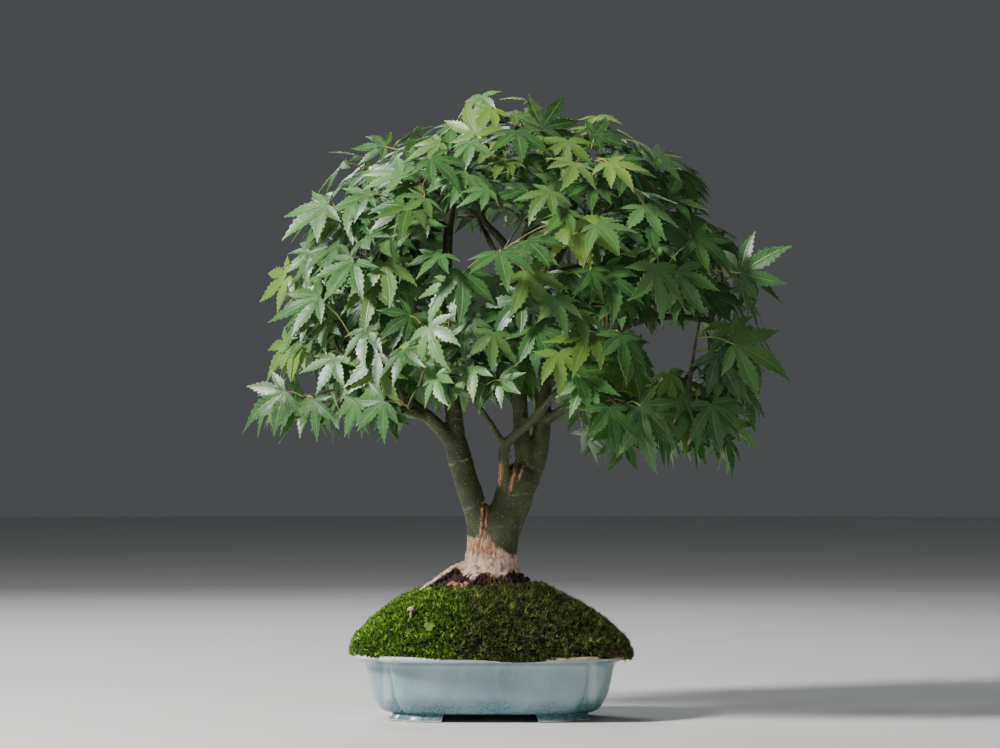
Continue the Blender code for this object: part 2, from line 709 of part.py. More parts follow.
def choose_anchor(tip, routes, taken):
    """The twig's route and shape from the best place on a branch: near, below the tip, and clear."""
    spots = []
    for _, route, radii in routes:
        for i, (spot, radius) in enumerate(zip(route, radii)):
            if radius > THICKEST_ANCHOR or spot.z < LOWEST_ANCHOR:
                continue
            along = (route[min(i + 1, len(route) - 1)] - route[max(i - 1, 0)]).normalized()
            rise = max(0.0, spot.z - tip.z + 4)
            outward = max(0.0, Vector((spot.x, spot.y)).length - Vector((tip.x, tip.y)).length + 8)
            cost = (tip - spot).length + 2.5 * rise + 3 * outward
            spots.append((cost, spot, radius, along))
    spots.sort(key=lambda item: item[0])
    for _, spot, radius, along in spots:
        for away in ANCHOR_GAPS:
            aim = (twig_route(spot, tip)[1] - spot).normalized()
            slope = max(0.45, math.sqrt(max(0.0, 1 - aim.dot(along) ** 2)))
            start = spot + aim * (radius / slope + away)
            if (tip - start).length < SHORTEST_TWIG:
                break
            route = twig_route(start, tip)
            shape = route_shape(route, [TWIG_RADIUS + LEAF_CLEARANCE] * len(route))
            if not any(shape.overlap(other) for other in taken):
                return route, shape
    return None


class Leaf:
    """A leaf blade: where its stalk ends, the middle lobe's direction and length, and its upper face."""

    def __init__(self, base, along, face, length, root, at):
        self.base = base
        self.face = face.normalized()
        self.along = (along - self.face * along.dot(self.face)).normalized()
        self.across = self.along.cross(self.face).normalized()
        self.length = length
        self.root = root
        self.at = at

    def point(self, angle, share, droop=0.0):
        turn = math.radians(angle)
        reach = self.length * share
        flat = self.along * (math.cos(turn) * reach) + self.across * (math.sin(turn) * reach)
        return self.base + flat - self.face * (self.length * droop)

    def outline(self):
        """Blade outline from the left of the stalk round to its right: tips and notches in turn."""
        half = STALK_WIDTH / 2
        points = [self.base - self.across * half]
        for i, (angle, share, droop) in enumerate(LOBE_TIPS):
            points.append(self.point(angle, share, droop))
            if i < len(NOTCHES):
                points.append(self.point(*NOTCHES[i]))
        points.append(self.base + self.across * half)
        return points

    def solid(self, thickness):
        """Corners and faces of the blade as a thin plate with drooping lobes, open at its stalk."""
        top = self.outline()
        shift = self.face * thickness
        corners = top + [p - shift for p in top]
        count = len(top)
        core = (0, 2, 4, 6, 8, 10)
        lobes = ((0, 1, 2), (2, 3, 4), (4, 5, 6), (6, 7, 8), (8, 9, 10))
        faces = [core[::-1]] + [lobe[::-1] for lobe in lobes]
        faces += [tuple(count + i for i in face) for face in (core,) + lobes]
        for i in range(count - 1):
            faces.append((i, i + 1, i + 1 + count, i + count))
        return corners, faces

    def shapes(self, thickness):
        """The blade and its stalk, fattened for the clearance, as a search tree."""
        grown = Leaf(self.base + self.face * (thickness - LEAF_THICKNESS) / 2, self.along, self.face,
                     self.length * 1.03, self.root, self.at)
        away = (self.base - self.root).normalized()
        stalk = bar(self.root + away * STALK_START, self.base, STALK_WIDTH / 2 + LEAF_CLEARANCE)
        return shape_of([grown.solid(thickness), stalk])


def underside(x):
    for (x0, z0), (x1, z1) in zip(UNDERSIDE, UNDERSIDE[1:]):
        if x0 <= x <= x1:
            return z0 + (z1 - z0) * (x - x0) / (x1 - x0)
    return UNDERSIDE[0][1] if x < UNDERSIDE[0][0] else UNDERSIDE[-1][1]


def keeps_clear(leaf):
    """True if the leaf stays out of the open sight lines and above the crown's underside."""
    for point in leaf.outline() + [leaf.point(0, 0.5), leaf.point(43, 0.5), leaf.point(-43, 0.5)]:
        if point.z < underside(point.x):
            return False
        for left, right, low, high in GAPS:
            if left < point.x < right and low < point.z < high:
                return False
        left, right, near, far, low, high = CLEARING
        if left < point.x < right and near < point.y < far and low < point.z < high:
            return False
    return True


def front_leaf(row, twigs):
    """A leaf of FRONT_LEAVES on the twig that comes nearest to it."""
    x, z, heading, length, tip_up, turn = row
    base = Vector((x, -crown_depth(x, z) * FRONT_DEPTH_SHARE, z))
    tip_up, turn, heading = math.radians(tip_up), math.radians(turn), math.radians(heading)
    face = Vector((math.sin(turn) * math.cos(tip_up), -math.cos(turn) * math.cos(tip_up), math.sin(tip_up)))
    along = Vector((math.cos(heading), 0.0, math.sin(heading)))
    along.y = -(along.x * face.x + along.z * face.z) / face.y
    places = []
    for number, (route, _) in enumerate(twigs):
        for at in FRONT_LEAF_STEPS:
            root = route_at(route, at)
            cost = (root - base).length + 0.5 * max(0.0, root.y - base.y)
            places.append((cost, number, at, root))
    cost, number, at, root = min(places, key=lambda item: item[0])
    if cost > LONGEST_FRONT_STALK:
        return None
    return number, Leaf(base, along, face, length, root, at)


def route_at(route, share):
    step = share * (len(route) - 1)
    i = min(int(step), len(route) - 2)
    return route[i].lerp(route[i + 1], step - i)


def leaf_attitude(spot, draws):
    """The way a leaf faces and the way its middle lobe hangs, at a place in the crown.

    Leaves face out of the dome and, on the front, partly to the front left where their light comes from.
    """
    from_axis = Vector(((spot.x - CROWN_AXIS_X) / CROWN_HALF_X, spot.y / CROWN_HALF_Y, 0))
    front = max(0.0, min(1.0, (50 - spot.y) / 90))
    out = (from_axis + TO_THE_LIGHT * front).normalized()
    high = max(0.0, min(1.0, (spot.z - CROWN_BOTTOM) / CROWN_RISE))
    rise = math.radians(22 + 34 * high + draws.uniform(-20, 20))
    sway = math.radians(draws.uniform(-28, 28))
    out = Vector((
        out.x * math.cos(sway) - out.y * math.sin(sway), out.x * math.sin(sway) + out.y * math.cos(sway), 0
    ))
    face = out * math.cos(rise) + Vector((0, 0, math.sin(rise)))
    spread = 45 + 50 * max(0.0, high - 0.55) / 0.45
    turn = math.radians(draws.uniform(-spread, spread))
    side = out.cross(Vector((0, 0, 1)))
    hang = Vector((0, 0, -1)) * math.cos(turn) + side * math.sin(turn) + from_axis * 0.7
    return face, hang


def grown_leaf(route, at, side, draws):
    """A leaf that a twig bears at one of its pairs, or at its tip where side is 0."""
    root = route_at(route, at)
    forward = (route[-1] - route[-3]).normalized()
    flat_forward = Vector((forward.x, forward.y, 0)).normalized()
    sideways = Vector((0, 0, 1)).cross(flat_forward) * side
    reach = draws.uniform(*STALK_LENGTH)
    stalk = (flat_forward * (0.55 if side else 1.0) + sideways * 0.85
             + Vector((0, 0, draws.uniform(-0.15, 0.5)))).normalized()
    face, hang = leaf_attitude(root, draws)
    return Leaf(root + stalk * reach, hang + stalk * 0.45, face, draws.uniform(*LEAF_LENGTH), root, at)


def lay_out_foliage(routes):
    """Every shoot's twig and leaves, each clear of the wood and of every other leaf."""
    wood = [route_shape(route, [r + LEAF_CLEARANCE for r in radii]) for _, route, radii in routes]
    twigs = []
    for tip in shoot_tips():
        twig = choose_anchor(tip, routes, wood)
        if twig:
            twigs.append(twig)
            wood.append(twig[1])
    leaves = [[] for _ in twigs]
    placed = []

    def try_leaf(number, leaf):
        shape = leaf.shapes(LEAF_THICKNESS + 2 * LEAF_CLEARANCE)
        near = [other for spot, other in placed if (spot - leaf.base).length < LEAF_NEIGHBOURHOOD]
        if not keeps_clear(leaf) or any(shape.overlap(other) for other in near + wood):
            return False
        placed.append((leaf.base, shape))
        leaves[number].append(leaf)
        return True

    for row in FRONT_LEAVES:
        found = front_leaf(row, twigs)
        if found:
            try_leaf(*found)
    draws = random.Random(SEED + 1)
    for number, twig in enumerate(twigs):
        growths = [(1.0, 0)] + [(at, side) for at in reversed(PAIRS) for side in (-1, 1)]
        for at, side in growths:
            for _ in range(LEAF_TRIES):
                if try_leaf(number, grown_leaf(twig[0], at, side, draws)):
                    break
    leafy = [i for i in range(len(twigs)) if len(leaves[i]) >= FEWEST_LEAVES]
    return [(twigs[i][0], leaves[i]) for i in leafy]


# ---------------------------------------------------------------- foliage solids


def nearest_turn(near, far):
    """The far ring of four points, started at the point that twists the bar between the rings least."""
    turns = [far[i:] + far[:i] for i in range(4)]
    return min(turns, key=lambda turn: sum((a.co - b.co).length for a, b in zip(near, turn)))


def add_leaf(bm, leaf, ring):
    """Joins a stalk and a blade to four points of the twig, given anticlockwise as seen from outside."""
    corners, faces = leaf.solid(LEAF_THICKNESS)
    verts = [bm.verts.new(to_frame(*corner)) for corner in corners]
    for face in faces:
        bm.faces.new([verts[i] for i in face])
    count = len(corners) // 2
    end = [verts[0], verts[count - 1], verts[2 * count - 1], verts[count]]
    end = nearest_turn(ring, end)
    for i in range(4):
        j = (i + 1) % 4
        bm.faces.new((ring[i], ring[j], end[j], end[i]))


def stations_along(route, leaves):
    """Places along a twig, as shares of it, each with the leaf that grows there if there is one."""
    half_gap = BUD_HALF / max(60.0, (route[-1] - route[0]).length)
    stations = [(i / TWIG_STEPS, None) for i in range(TWIG_STEPS + 1)]
    for leaf in leaves:
        stations = [s for s in stations if abs(s[0] - leaf.at) > 0.07 or s[0] in (0.0, 1.0)]
    for leaf in leaves:
        while any(s[1] and abs(s[0] - leaf.at) < 2.5 * half_gap for s in stations):
            leaf.at -= 2.6 * half_gap
        stations.append((leaf.at, leaf))
    stations.sort(key=lambda s: s[0])
    return stations, half_gap


def make_shoot(name, route, leaves, collection):
    """One closed body: a square twig whose sides and tip run out into stalks, each with its blade."""
    bm = bmesh.new()
    tip_leaves = [leaf for leaf in leaves if leaf.at >= 0.999]
    stations, half_gap = stations_along(route, [leaf for leaf in leaves if leaf.at < 0.999])
    rings = []
    for at, leaf in stations:
        for shift in ((-half_gap, half_gap) if leaf else (0.0,)):
            middle = route_at(route, at + shift)
            ahead = route_at(route, min(1.0, at + 0.05)) - route_at(route, max(0.0, at - 0.05))
            side = ahead.cross(Vector((0, 0, 1))).normalized()
            top = side.cross(ahead).normalized()
            radius = TWIG_RADIUS + (TWIG_TIP_RADIUS - TWIG_RADIUS) * at
            ring = [bm.verts.new(to_frame(*(middle + (side * a + top * b) * radius)))
                    for a, b in ((0.7, 0.7), (0.7, -0.7), (-0.7, -0.7), (-0.7, 0.7))]
            rings.append((ring, leaf))
    bm.faces.new(rings[0][0][::-1])
    for (low, leaf), (high, other) in zip(rings, rings[1:]):
        sides = [(low[i], low[(i + 1) % 4], high[(i + 1) % 4], high[i]) for i in range(4)]
        borne = None
        if leaf is not None and leaf is other:
            target = to_frame(*leaf.base)
            borne = min(sides, key=lambda quad: (sum((v.co for v in quad), Vector()) / 4 - target).length)
        for quad in sides:
            if quad is borne:
                add_leaf(bm, leaf, list(quad))
            else:
                bm.faces.new(quad)
    if tip_leaves:
        add_leaf(bm, tip_leaves[0], rings[-1][0])
    else:
        bm.faces.new(rings[-1][0])
    return finish_mesh(bm, name, "leaf", collection)


def main():
    clear_scene()
    bonsai = new_collection("bonsai_tree")
    routes = branch_routes()
    make_pot(bonsai)
    make_drainage_meshes(bonsai)
    make_soil(bonsai)
    both_mosses(bonsai)
    make_mushroom(bonsai)
    make_clover(bonsai)
    make_trunk(routes, bonsai)
    for number, (route, leaves) in enumerate(lay_out_foliage(routes), start=1):
        make_shoot(f"leaf_shoot_{number:02d}", route, leaves, bonsai)


main()
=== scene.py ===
"""Looks of a Japanese maple bonsai with two trunks, in a lobed celadon pot with a mossy mound.

The pot's place comes from the frame. Routes, tiers and leaf places below are in millimetres from the
middle of the pot's footprint, as the CAD part has them, and place() turns them into metres.
"""

import math
import random

import bmesh
import bpy
import numpy as np
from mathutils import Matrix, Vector, noise
from mathutils.bvhtree import BVHTree


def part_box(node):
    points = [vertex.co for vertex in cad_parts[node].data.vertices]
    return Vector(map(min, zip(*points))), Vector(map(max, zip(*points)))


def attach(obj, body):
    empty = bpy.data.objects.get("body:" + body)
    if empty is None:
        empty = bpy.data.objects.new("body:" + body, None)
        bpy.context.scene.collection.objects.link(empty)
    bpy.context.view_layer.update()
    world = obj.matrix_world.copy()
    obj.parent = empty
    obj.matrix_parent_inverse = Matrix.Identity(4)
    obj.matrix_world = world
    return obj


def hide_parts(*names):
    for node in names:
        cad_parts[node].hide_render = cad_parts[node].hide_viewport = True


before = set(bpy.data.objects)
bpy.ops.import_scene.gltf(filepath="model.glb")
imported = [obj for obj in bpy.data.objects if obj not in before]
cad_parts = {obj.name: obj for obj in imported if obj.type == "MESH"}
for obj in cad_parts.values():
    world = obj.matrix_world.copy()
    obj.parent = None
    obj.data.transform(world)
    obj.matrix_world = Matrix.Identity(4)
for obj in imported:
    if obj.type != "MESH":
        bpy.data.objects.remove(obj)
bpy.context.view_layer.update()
MM = 0.001
UP = Vector((0, 0, 1))
POT_LOW, POT_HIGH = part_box("pot")
POT_X = (POT_LOW.x + POT_HIGH.x) / 2
POT_Y = (POT_LOW.y + POT_HIGH.y) / 2

# ---------------------------------------------------------------- driving dimensions

# Profiles of the pot and its feet: height and half width.
POT_OUTSIDE = (
    (5.5, 73.0), (8.0, 77.0), (16.5, 82.0), (26.0, 84.5), (37.0, 87.0),
    (40.0, 89.5), (42.0, 94.5), (44.0, 96.5), (45.6, 95.0),
)
POT_INSIDE = ((46.0, 91.5), (44.6, 88.0), (38.0, 81.0), (26.0, 78.5), (14.0, 74.0), (12.0, 70.0))
POT_DEPTH_LESS = 25.0
LOBE_SHARE_X = 0.79
LOBE_SHARE_Y = 0.70
FRONT_LOBE_POWER = 3.2
SIDE_LOBE_POWER = 2.5
FOOT_PROFILE = ((0.0, 74.4), (0.5, 75.2), (2.2, 74.9), (4.0, 73.6), (5.6, 72.9), (9.0, 73.5))
FOOT_DEPTH = 10.0
FOOT_CUT = (-3.0, 14.0)
# Gaps between the feet, one each way: half sizes in x and y, below the pot and at the gap's top.
FOOT_GAPS = ((34.5, 90.0, 28.5, 90.0), (110.0, 30.5, 110.0, 29.0))
POT_SHARP_ANGLE = 42
DRAIN_X = 34.0
DRAIN_RADIUS = 7.0
POT_FLOOR = 12.0
RIM_TOP = 46.0
MOSS_HALF_X = 98.0
MOSS_HALF_Y = 74.0
MOSS_RISE = 47.0
SOIL_SHARE = 0.83
SOIL_RISE = 41.0
MOUND_SQUARENESS = 2.5
MOSS_SPLIT_X = -20.0
# The opening in the moss round the trunk: its middle's x, and its half sizes.
MOSS_HOLE = (-7.0, 33.0, 23.0)
MOSS_TUFTS = 7250
MOSS_BLADES = 6
CUSHION_GRID = (128, 48)
CUSHION_DEPTH = 3.0
SOIL_WALL_HEIGHTS = (14.0, 24.0, 38.0, 44.4)

# Name, first and last radius, and route of each branch.
BRANCHES = (
    ("left_trunk", 9.0, 8.4,
     ((-6, 0, 106), (-7, 0, 131), (-9, 0, 141), (-12, 1, 151), (-20, 3, 176), (-24, 4, 192))),
    ("right_trunk", 14.0, 11.6,
     ((4, 0, 104), (8, 0, 131), (13.5, 1, 150), (19, 2, 167))),
    ("leader", 6.8, 2.6,
     ((-23, 4, 186), (-27, 6, 222), (-34, 6, 240), (-37, 8, 270), (-31, 8, 310), (-29, 8, 344),
      (-23, 10, 378))),
    ("left_branch", 5.4, 2.0,
     ((-22, 3, 186), (-38, 0, 205), (-56, -5, 220), (-80, -10, 240), (-105, -12, 264), (-122, -12, 290))),
    ("left_back_branch", 4.2, 1.9,
     ((-27, 7, 220), (-46, 28, 243), (-70, 56, 262), (-88, 80, 280))),
    ("low_left_branch", 3.4, 1.8,
     ((-44, -1, 210), (-66, -22, 216), (-92, -38, 221), (-118, -46, 220))),
    ("front_stem", 4.0, 2.4,
     ((11, -5, 160), (10, -9, 174), (11, -11, 190), (30, -16, 208), (44, -30, 224), (58, -50, 238))),
    ("front_twig", 2.6, 1.8,
     ((11, -11, 187), (1, -14, 204), (-10, -20, 220), (-18, -38, 236), (-30, -60, 250))),
    ("middle_stem", 7.0, 3.4,
     ((18, 2, 158), (24, 4, 175), (22, 6, 196), (20, 8, 240), (17, 6, 298), (20, 4, 322))),
    ("middle_left_arm", 3.2, 1.8,
     ((19, 4, 316), (8, 3, 334), (-4, 0, 347), (-12, -10, 366), (-20, -18, 386))),
    ("middle_right_arm", 3.2, 1.8,
     ((20, 4, 318), (25, 5, 338), (30, 6, 352), (36, 2, 374), (40, -4, 396))),
    ("right_stem", 7.2, 2.4,
     ((24, 5, 157), (32, 8, 176), (36, 10, 198), (38, 13, 240), (35, 13, 290), (49, 14, 326), (70, 16, 352),
      (92, 18, 370))),
    ("right_branch", 4.6, 2.0,
     ((38, 13, 232), (60, 9, 252), (84, 3, 268), (104, 0, 277), (130, -5, 280), (154, -8, 277))),
    ("right_back_branch", 4.2, 1.9,
     ((38, 14, 240), (52, 42, 262), (66, 72, 284), (80, 96, 300))),
    ("low_right_branch", 3.6, 1.8,
     ((37, 11, 206), (58, -4, 218), (84, -18, 224), (112, -30, 224), (136, -38, 220))),
    ("low_back_branch", 3.8, 1.8,
     ((22, 8, 212), (14, 36, 226), (2, 64, 238), (-8, 92, 246))),
    ("upper_back_branch", 3.0, 1.7,
     ((17, 7, 296), (8, 32, 318), (-2, 56, 340), (-8, 78, 356))),
)
BRANCH_SPACING = 16.0

# The crown's outline: height, and how far left and right it reaches.
CROWN = (
    (190, -150, 176), (215, -184, 204), (245, -166, 212), (282, -158, 200), (325, -156, 196),
    (352, -150, 172), (382, -120, 158), (402, -78, 130), (420, -42, 76), (436, -14, 42),
)
CROWN_DEPTH = 0.84
# Tiers of shoots: height, how many, the first one's direction, and how far inside the outline they end.
TIERS = (
    (216, 9, 12, 34), (248, 5, 40, 80), (266, 10, 4, 34), (312, 9, 26, 34), (350, 7, 8, 32),
    (382, 7, 40, 30), (405, 3, 150, 26),
)
TIER_WOBBLE = 7.0
THICKEST_ANCHOR = 7.3
LOWEST_ANCHOR = 200
ANCHOR_DISTANCES = (0.6, 1.2, 2.0, 3.2)
SHORTEST_TWIG = 24
TWIG_RADIUS = 1.7
TWIG_TIP_RADIUS = 0.9
TWIG_STEPS = 4
TWIG_LIFT = 0.10
PAIRS = (0.62, 0.86)
STALK_LENGTH = (13.0, 20.0)
STALK_WIDTH = 1.1
LEAF_LENGTH = (29.0, 37.0)
LEAF_THICKNESS = 0.6
LEAF_CLEARANCE = 0.35
LEAF_TRIES = 14
FEWEST_LEAVES = 2
SEED = 20
CHIP_SEED = 5
BLADE_SEED = 11
MOSS_SEED = 40
# Lobe tips and notches of the simple blade: angle, and reach and droop as shares of its length.
LOBE_TIPS = ((-92, 0.62, 0.12), (-43, 0.90, 0.15), (0, 1.0, 0.16), (43, 0.90, 0.15), (92, 0.62, 0.12))
NOTCHES = ((-66, 0.30), (-21, 0.34), (21, 0.34), (66, 0.30))
# Large leaves of the front: x, z, heading, length, and how far the face tips up and turns.
FRONT_LEAVES = (
    (-101, 334, 58, 41, 30, -8), (-82, 317, 5, 33, 45, 10), (-116, 290, 200, 37, 40, -25),
    (-97, 267, 217, 46, 35, -15), (-64, 272, -68, 31, 40, 0), (-36, 272, -78, 33, 30, 8),
    (0, 240, 236, 33, 25, 0), (53, 397, -97, 28, 35, 0), (59, 340, -84, 40, 22, 6),
    (115, 367, -105, 29, 30, 15), (80, 303, -78, 32, 35, 10), (92, 253, -44, 27, 25, 10),
    (106, 232, -38, 34, 30, 12), (58, 238, -28, 32, 30, 0), (171, 307, 36, 38, 5, -20),
    (160, 222, -24, 40, 30, 20), (-10, 402, 105, 33, 20, -8), (15, 405, 88, 30, 15, 0),
    (36, 407, 62, 32, 20, 8), (166, 258, -20, 44, 20, 15), (150, 207, -76, 38, 5, 15),
    (104, 208, -82, 34, 8, 5), (-146, 216, 204, 42, 35, -20), (-136, 254, 198, 38, 35, -25),
    (-18, 305, -86, 34, 30, 0), (14, 352, -92, 30, 40, 0), (-60, 372, 160, 32, 50, -10),
    (-32, 350, 222, 31, 40, 0), (-112, 236, 250, 34, 35, -10), (30, 268, -60, 33, 35, 0),
    (140, 330, -35, 33, 30, 18), (88, 378, 20, 30, 45, 10), (14, 377, -92, 30, 40, 0),
    (-14, 373, -102, 27, 40, -5), (38, 367, -78, 29, 35, 5), (-40, 386, -115, 29, 40, -8),
    (68, 372, -75, 31, 35, 8), (-58, 352, 215, 30, 40, -10), (24, 394, -60, 26, 45, 5),
    (-72, 396, 175, 28, 40, -12), (72, 402, 10, 28, 40, 10), (44, 318, -95, 33, 30, 5),
    (70, 274, -98, 30, 30, 5), (-78, 296, -100, 32, 38, -8), (120, 396, -10, 28, 40, 15),
)
FRONT_DEPTH_SHARE = 0.80
FRONT_LEAF_REACH = 75
FRONT_LEAF_PLACES = (0.45, 0.62, 0.74, 0.86)
NEIGHBOUR_REACH = 80
# Open sight lines through the crown: lowest and highest x and z.
GAPS = ((-24, 14, 317, 343), (107, 145, 243, 269), (-132, -112, 225, 234))
# Space left free between the two stems: lowest and highest x, y and z.
CLEARING = (-28, 11, -32, 32, 258, 299)
# The crown's underside: x and lowest height.
UNDERSIDE = ((-190, 196), (-60, 192), (-45, 212), (50, 212), (62, 171), (215, 168))

# The fine leaves between the large ones, on the same twigs. Their layers: how far inside the crown's
# outline they grow, their spacing and their greatest length.
FILL_LAYERS = ((30.0, 19.0, 34.0), (46.0, 22.0, 33.0), (66.0, 25.0, 31.0), (92.0, 30.0, 29.0))
FILL_HEIGHTS = (206.0, 428.0)
FILL_REACH = 82.0
# Thin parts of the front: lowest and highest x and z, and the share of their fine leaves left out.
THIN_ZONES = ((-46, 50, 282, 350, 0.72), (84, 150, 236, 284, 0.6), (-60, 60, 205, 232, 0.6))
FILL_TRIES = 7
BLADE_TEETH = 6
BLADE_KINDS = 9
BLADE_THICKNESS = 0.28


def place(x, y, z):
    """A point given in millimetres from the pot's middle, in metres in the object's frame."""
    return Vector((POT_X + x * MM, POT_Y + y * MM, z * MM))


def node_box(name):
    """A CAD node's lowest and highest corners, in millimetres from the pot's middle."""
    return [(corner - Vector((POT_X, POT_Y, 0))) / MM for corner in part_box(name)]


# ---------------------------------------------------------------- camera, floor and light


CAMERA_LENS = 123.4
CAMERA_AT = (7, -2400, 178)
CAMERA_AIM = (7, 0, 240)
FLOOR_RADIUS = 9.0
WORLD_COLOUR = (0.60, 0.63, 0.66, 1)
WORLD_STRENGTH = 0.12
LIGHTS = (
    # Name, place, the point it aims at, width, power and colour.
    ("key", (-1.45, -0.85, 1.45), (0, 0, 0.26), 0.42, 82, (1.0, 0.985, 0.96)),
    ("fill", (0.5, -2.2, 0.9), (0, 0, 0.25), 1.4, 3.4, (0.92, 0.96, 1.0)),
    ("back", (-0.5, 1.6, 1.4), (0, 0, 0.28), 0.8, 15, (0.96, 0.98, 1.0)),
)


def linked(name, data):
    """A new object in the scene."""
    obj = bpy.data.objects.new(name, data)
    bpy.context.scene.collection.objects.link(obj)
    return obj


def aimed(obj, at, aim):
    obj.location = at
    obj.rotation_euler = (Vector(aim) - Vector(at)).to_track_quat("-Z", "Y").to_euler()


def make_camera():
    data = bpy.data.cameras.new("camera")
    data.lens = CAMERA_LENS
    data.sensor_width = 36.0
    camera = linked("camera", data)
    aimed(camera, place(*CAMERA_AT), place(*CAMERA_AIM))
    bpy.context.scene.camera = camera


def make_stage():
    bm = bmesh.new()
    bmesh.ops.create_circle(bm, cap_ends=True, segments=96, radius=FLOOR_RADIUS)
    mesh = bpy.data.meshes.new("floor")
    bm.to_mesh(mesh)
    bm.free()
    floor = linked("floor", mesh)
    p = Paint("floor_paint")
    pale = p.ramp(p.noise(3.0, 3), (0.3, 0.70, 0.70, 0.69), (0.7, 0.74, 0.74, 0.73))
    mesh.materials.append(p.finish(pale, 0.85))
    world = bpy.data.worlds.new("studio")
    world.use_nodes = True
    world.node_tree.nodes["Background"].inputs["Color"].default_value = WORLD_COLOUR
    world.node_tree.nodes["Background"].inputs["Strength"].default_value = WORLD_STRENGTH
    bpy.context.scene.world = world
    for name, at, aim, size, power, colour in LIGHTS:
        data = bpy.data.lights.new(name, "AREA")
        data.shape = "DISK"
        data.size = size
        data.energy = power
        data.color = colour
        aimed(linked(name, data), at, aim)


# ---------------------------------------------------------------- materials


class Paint:
    """A new material and its Principled shader, with short calls for the nodes that feed it."""

    def __init__(self, name):
        self.mat = bpy.data.materials.new(name)
        self.mat.use_nodes = True
        self.tree = self.mat.node_tree
        self.sockets = self.tree.nodes["Principled BSDF"].inputs

    def node(self, kind, inputs=(), **settings):
        """A node with its properties set, and its inputs linked or given a number, vector or colour."""
        node = self.tree.nodes.new("ShaderNode" + kind)
        for key, value in settings.items():
            setattr(node, key, value)
        for key, value in dict(inputs).items():
            self.feed(node.inputs[key], value)
        return node

    def feed(self, socket, value):
        if isinstance(value, bpy.types.NodeSocket):
            self.tree.links.new(value, socket)
        elif isinstance(value, tuple):
            socket.default_value = (*value, 1)[:len(socket.default_value)]
        else:
            socket.default_value = value

    def point(self, stretch=None):
        """Object coordinates, scaled by axis for a pattern that runs along one of them."""
        spot = self.node("TexCoord").outputs["Object"]
        if stretch is None:
            return spot
        return self.node("Mapping", {"Vector": spot, "Scale": stretch}).outputs["Vector"]

    def noise(self, scale, detail=4, distortion=0.0, stretch=None):
        inputs = {"Vector": self.point(stretch), "Scale": scale, "Detail": detail, "Distortion": distortion}
        return self.node("TexNoise", inputs).outputs["Fac"]

    def cells(self, scale, stretch=None):
        """Distance from the middle of the nearest cell."""
        return self.node("TexVoronoi", {"Vector": self.point(stretch), "Scale": scale}).outputs["Distance"]

    def ramp(self, factor, *stops):
        node = self.node("ValToRGB", {"Fac": factor})
        elements = node.color_ramp.elements
        while len(elements) < len(stops):
            elements.new(0.5)
        for element, (at, *colour) in zip(elements, stops):
            element.position = at
            element.color = (*colour, 1)
        return node.outputs["Color"]

    def step(self, factor, low, high):
        """0 below low, 1 above high, smooth between. low may be above high for the reverse."""
        inputs = {"Value": factor, "From Min": low, "From Max": high}
        return self.node("MapRange", inputs, interpolation_type="SMOOTHSTEP").outputs["Result"]

    def maths(self, operation, *values):
        return self.node("Math", enumerate(values), operation=operation).outputs["Value"]

    def times(self, a, b):
        return self.maths("MULTIPLY", a, b)

    def times_plus(self, a, b, c):
        return self.maths("MULTIPLY_ADD", a, b, c)

    def less(self, a, b):
        return self.maths("SUBTRACT", a, b)

    def most(self, a, b):
        return self.maths("MAXIMUM", a, b)

    def mix(self, factor, a, b, share=None):
        """Colour a turned into b by a factor, which may be weakened to a share of itself."""
        if share is not None:
            factor = self.times(factor, share)
        return self.node("Mix", {"Factor": factor, 6: a, 7: b}, data_type="RGBA").outputs[2]

    def split(self, vector):
        parts = self.node("SeparateXYZ", {"Vector": vector}).outputs
        return parts["X"], parts["Y"], parts["Z"]

    def attribute(self, name):
        """The three numbers of a vector attribute."""
        return self.split(self.node("Attribute", attribute_name=name).outputs["Vector"])

    def bump(self, height, strength, distance):
        inputs = {"Strength": strength, "Distance": distance, "Height": height}
        self.feed(self.sockets["Normal"], self.node("Bump", inputs).outputs["Normal"])

    def finish(self, colour, roughness, **sockets):
        """Feeds the shader's sockets, whose names have _ for their spaces, and gives the material."""
        for name, value in {"Base_Color": colour, "Roughness": roughness, **sockets}.items():
            self.feed(self.sockets[name.replace("_", " ")], value)
        return self.mat


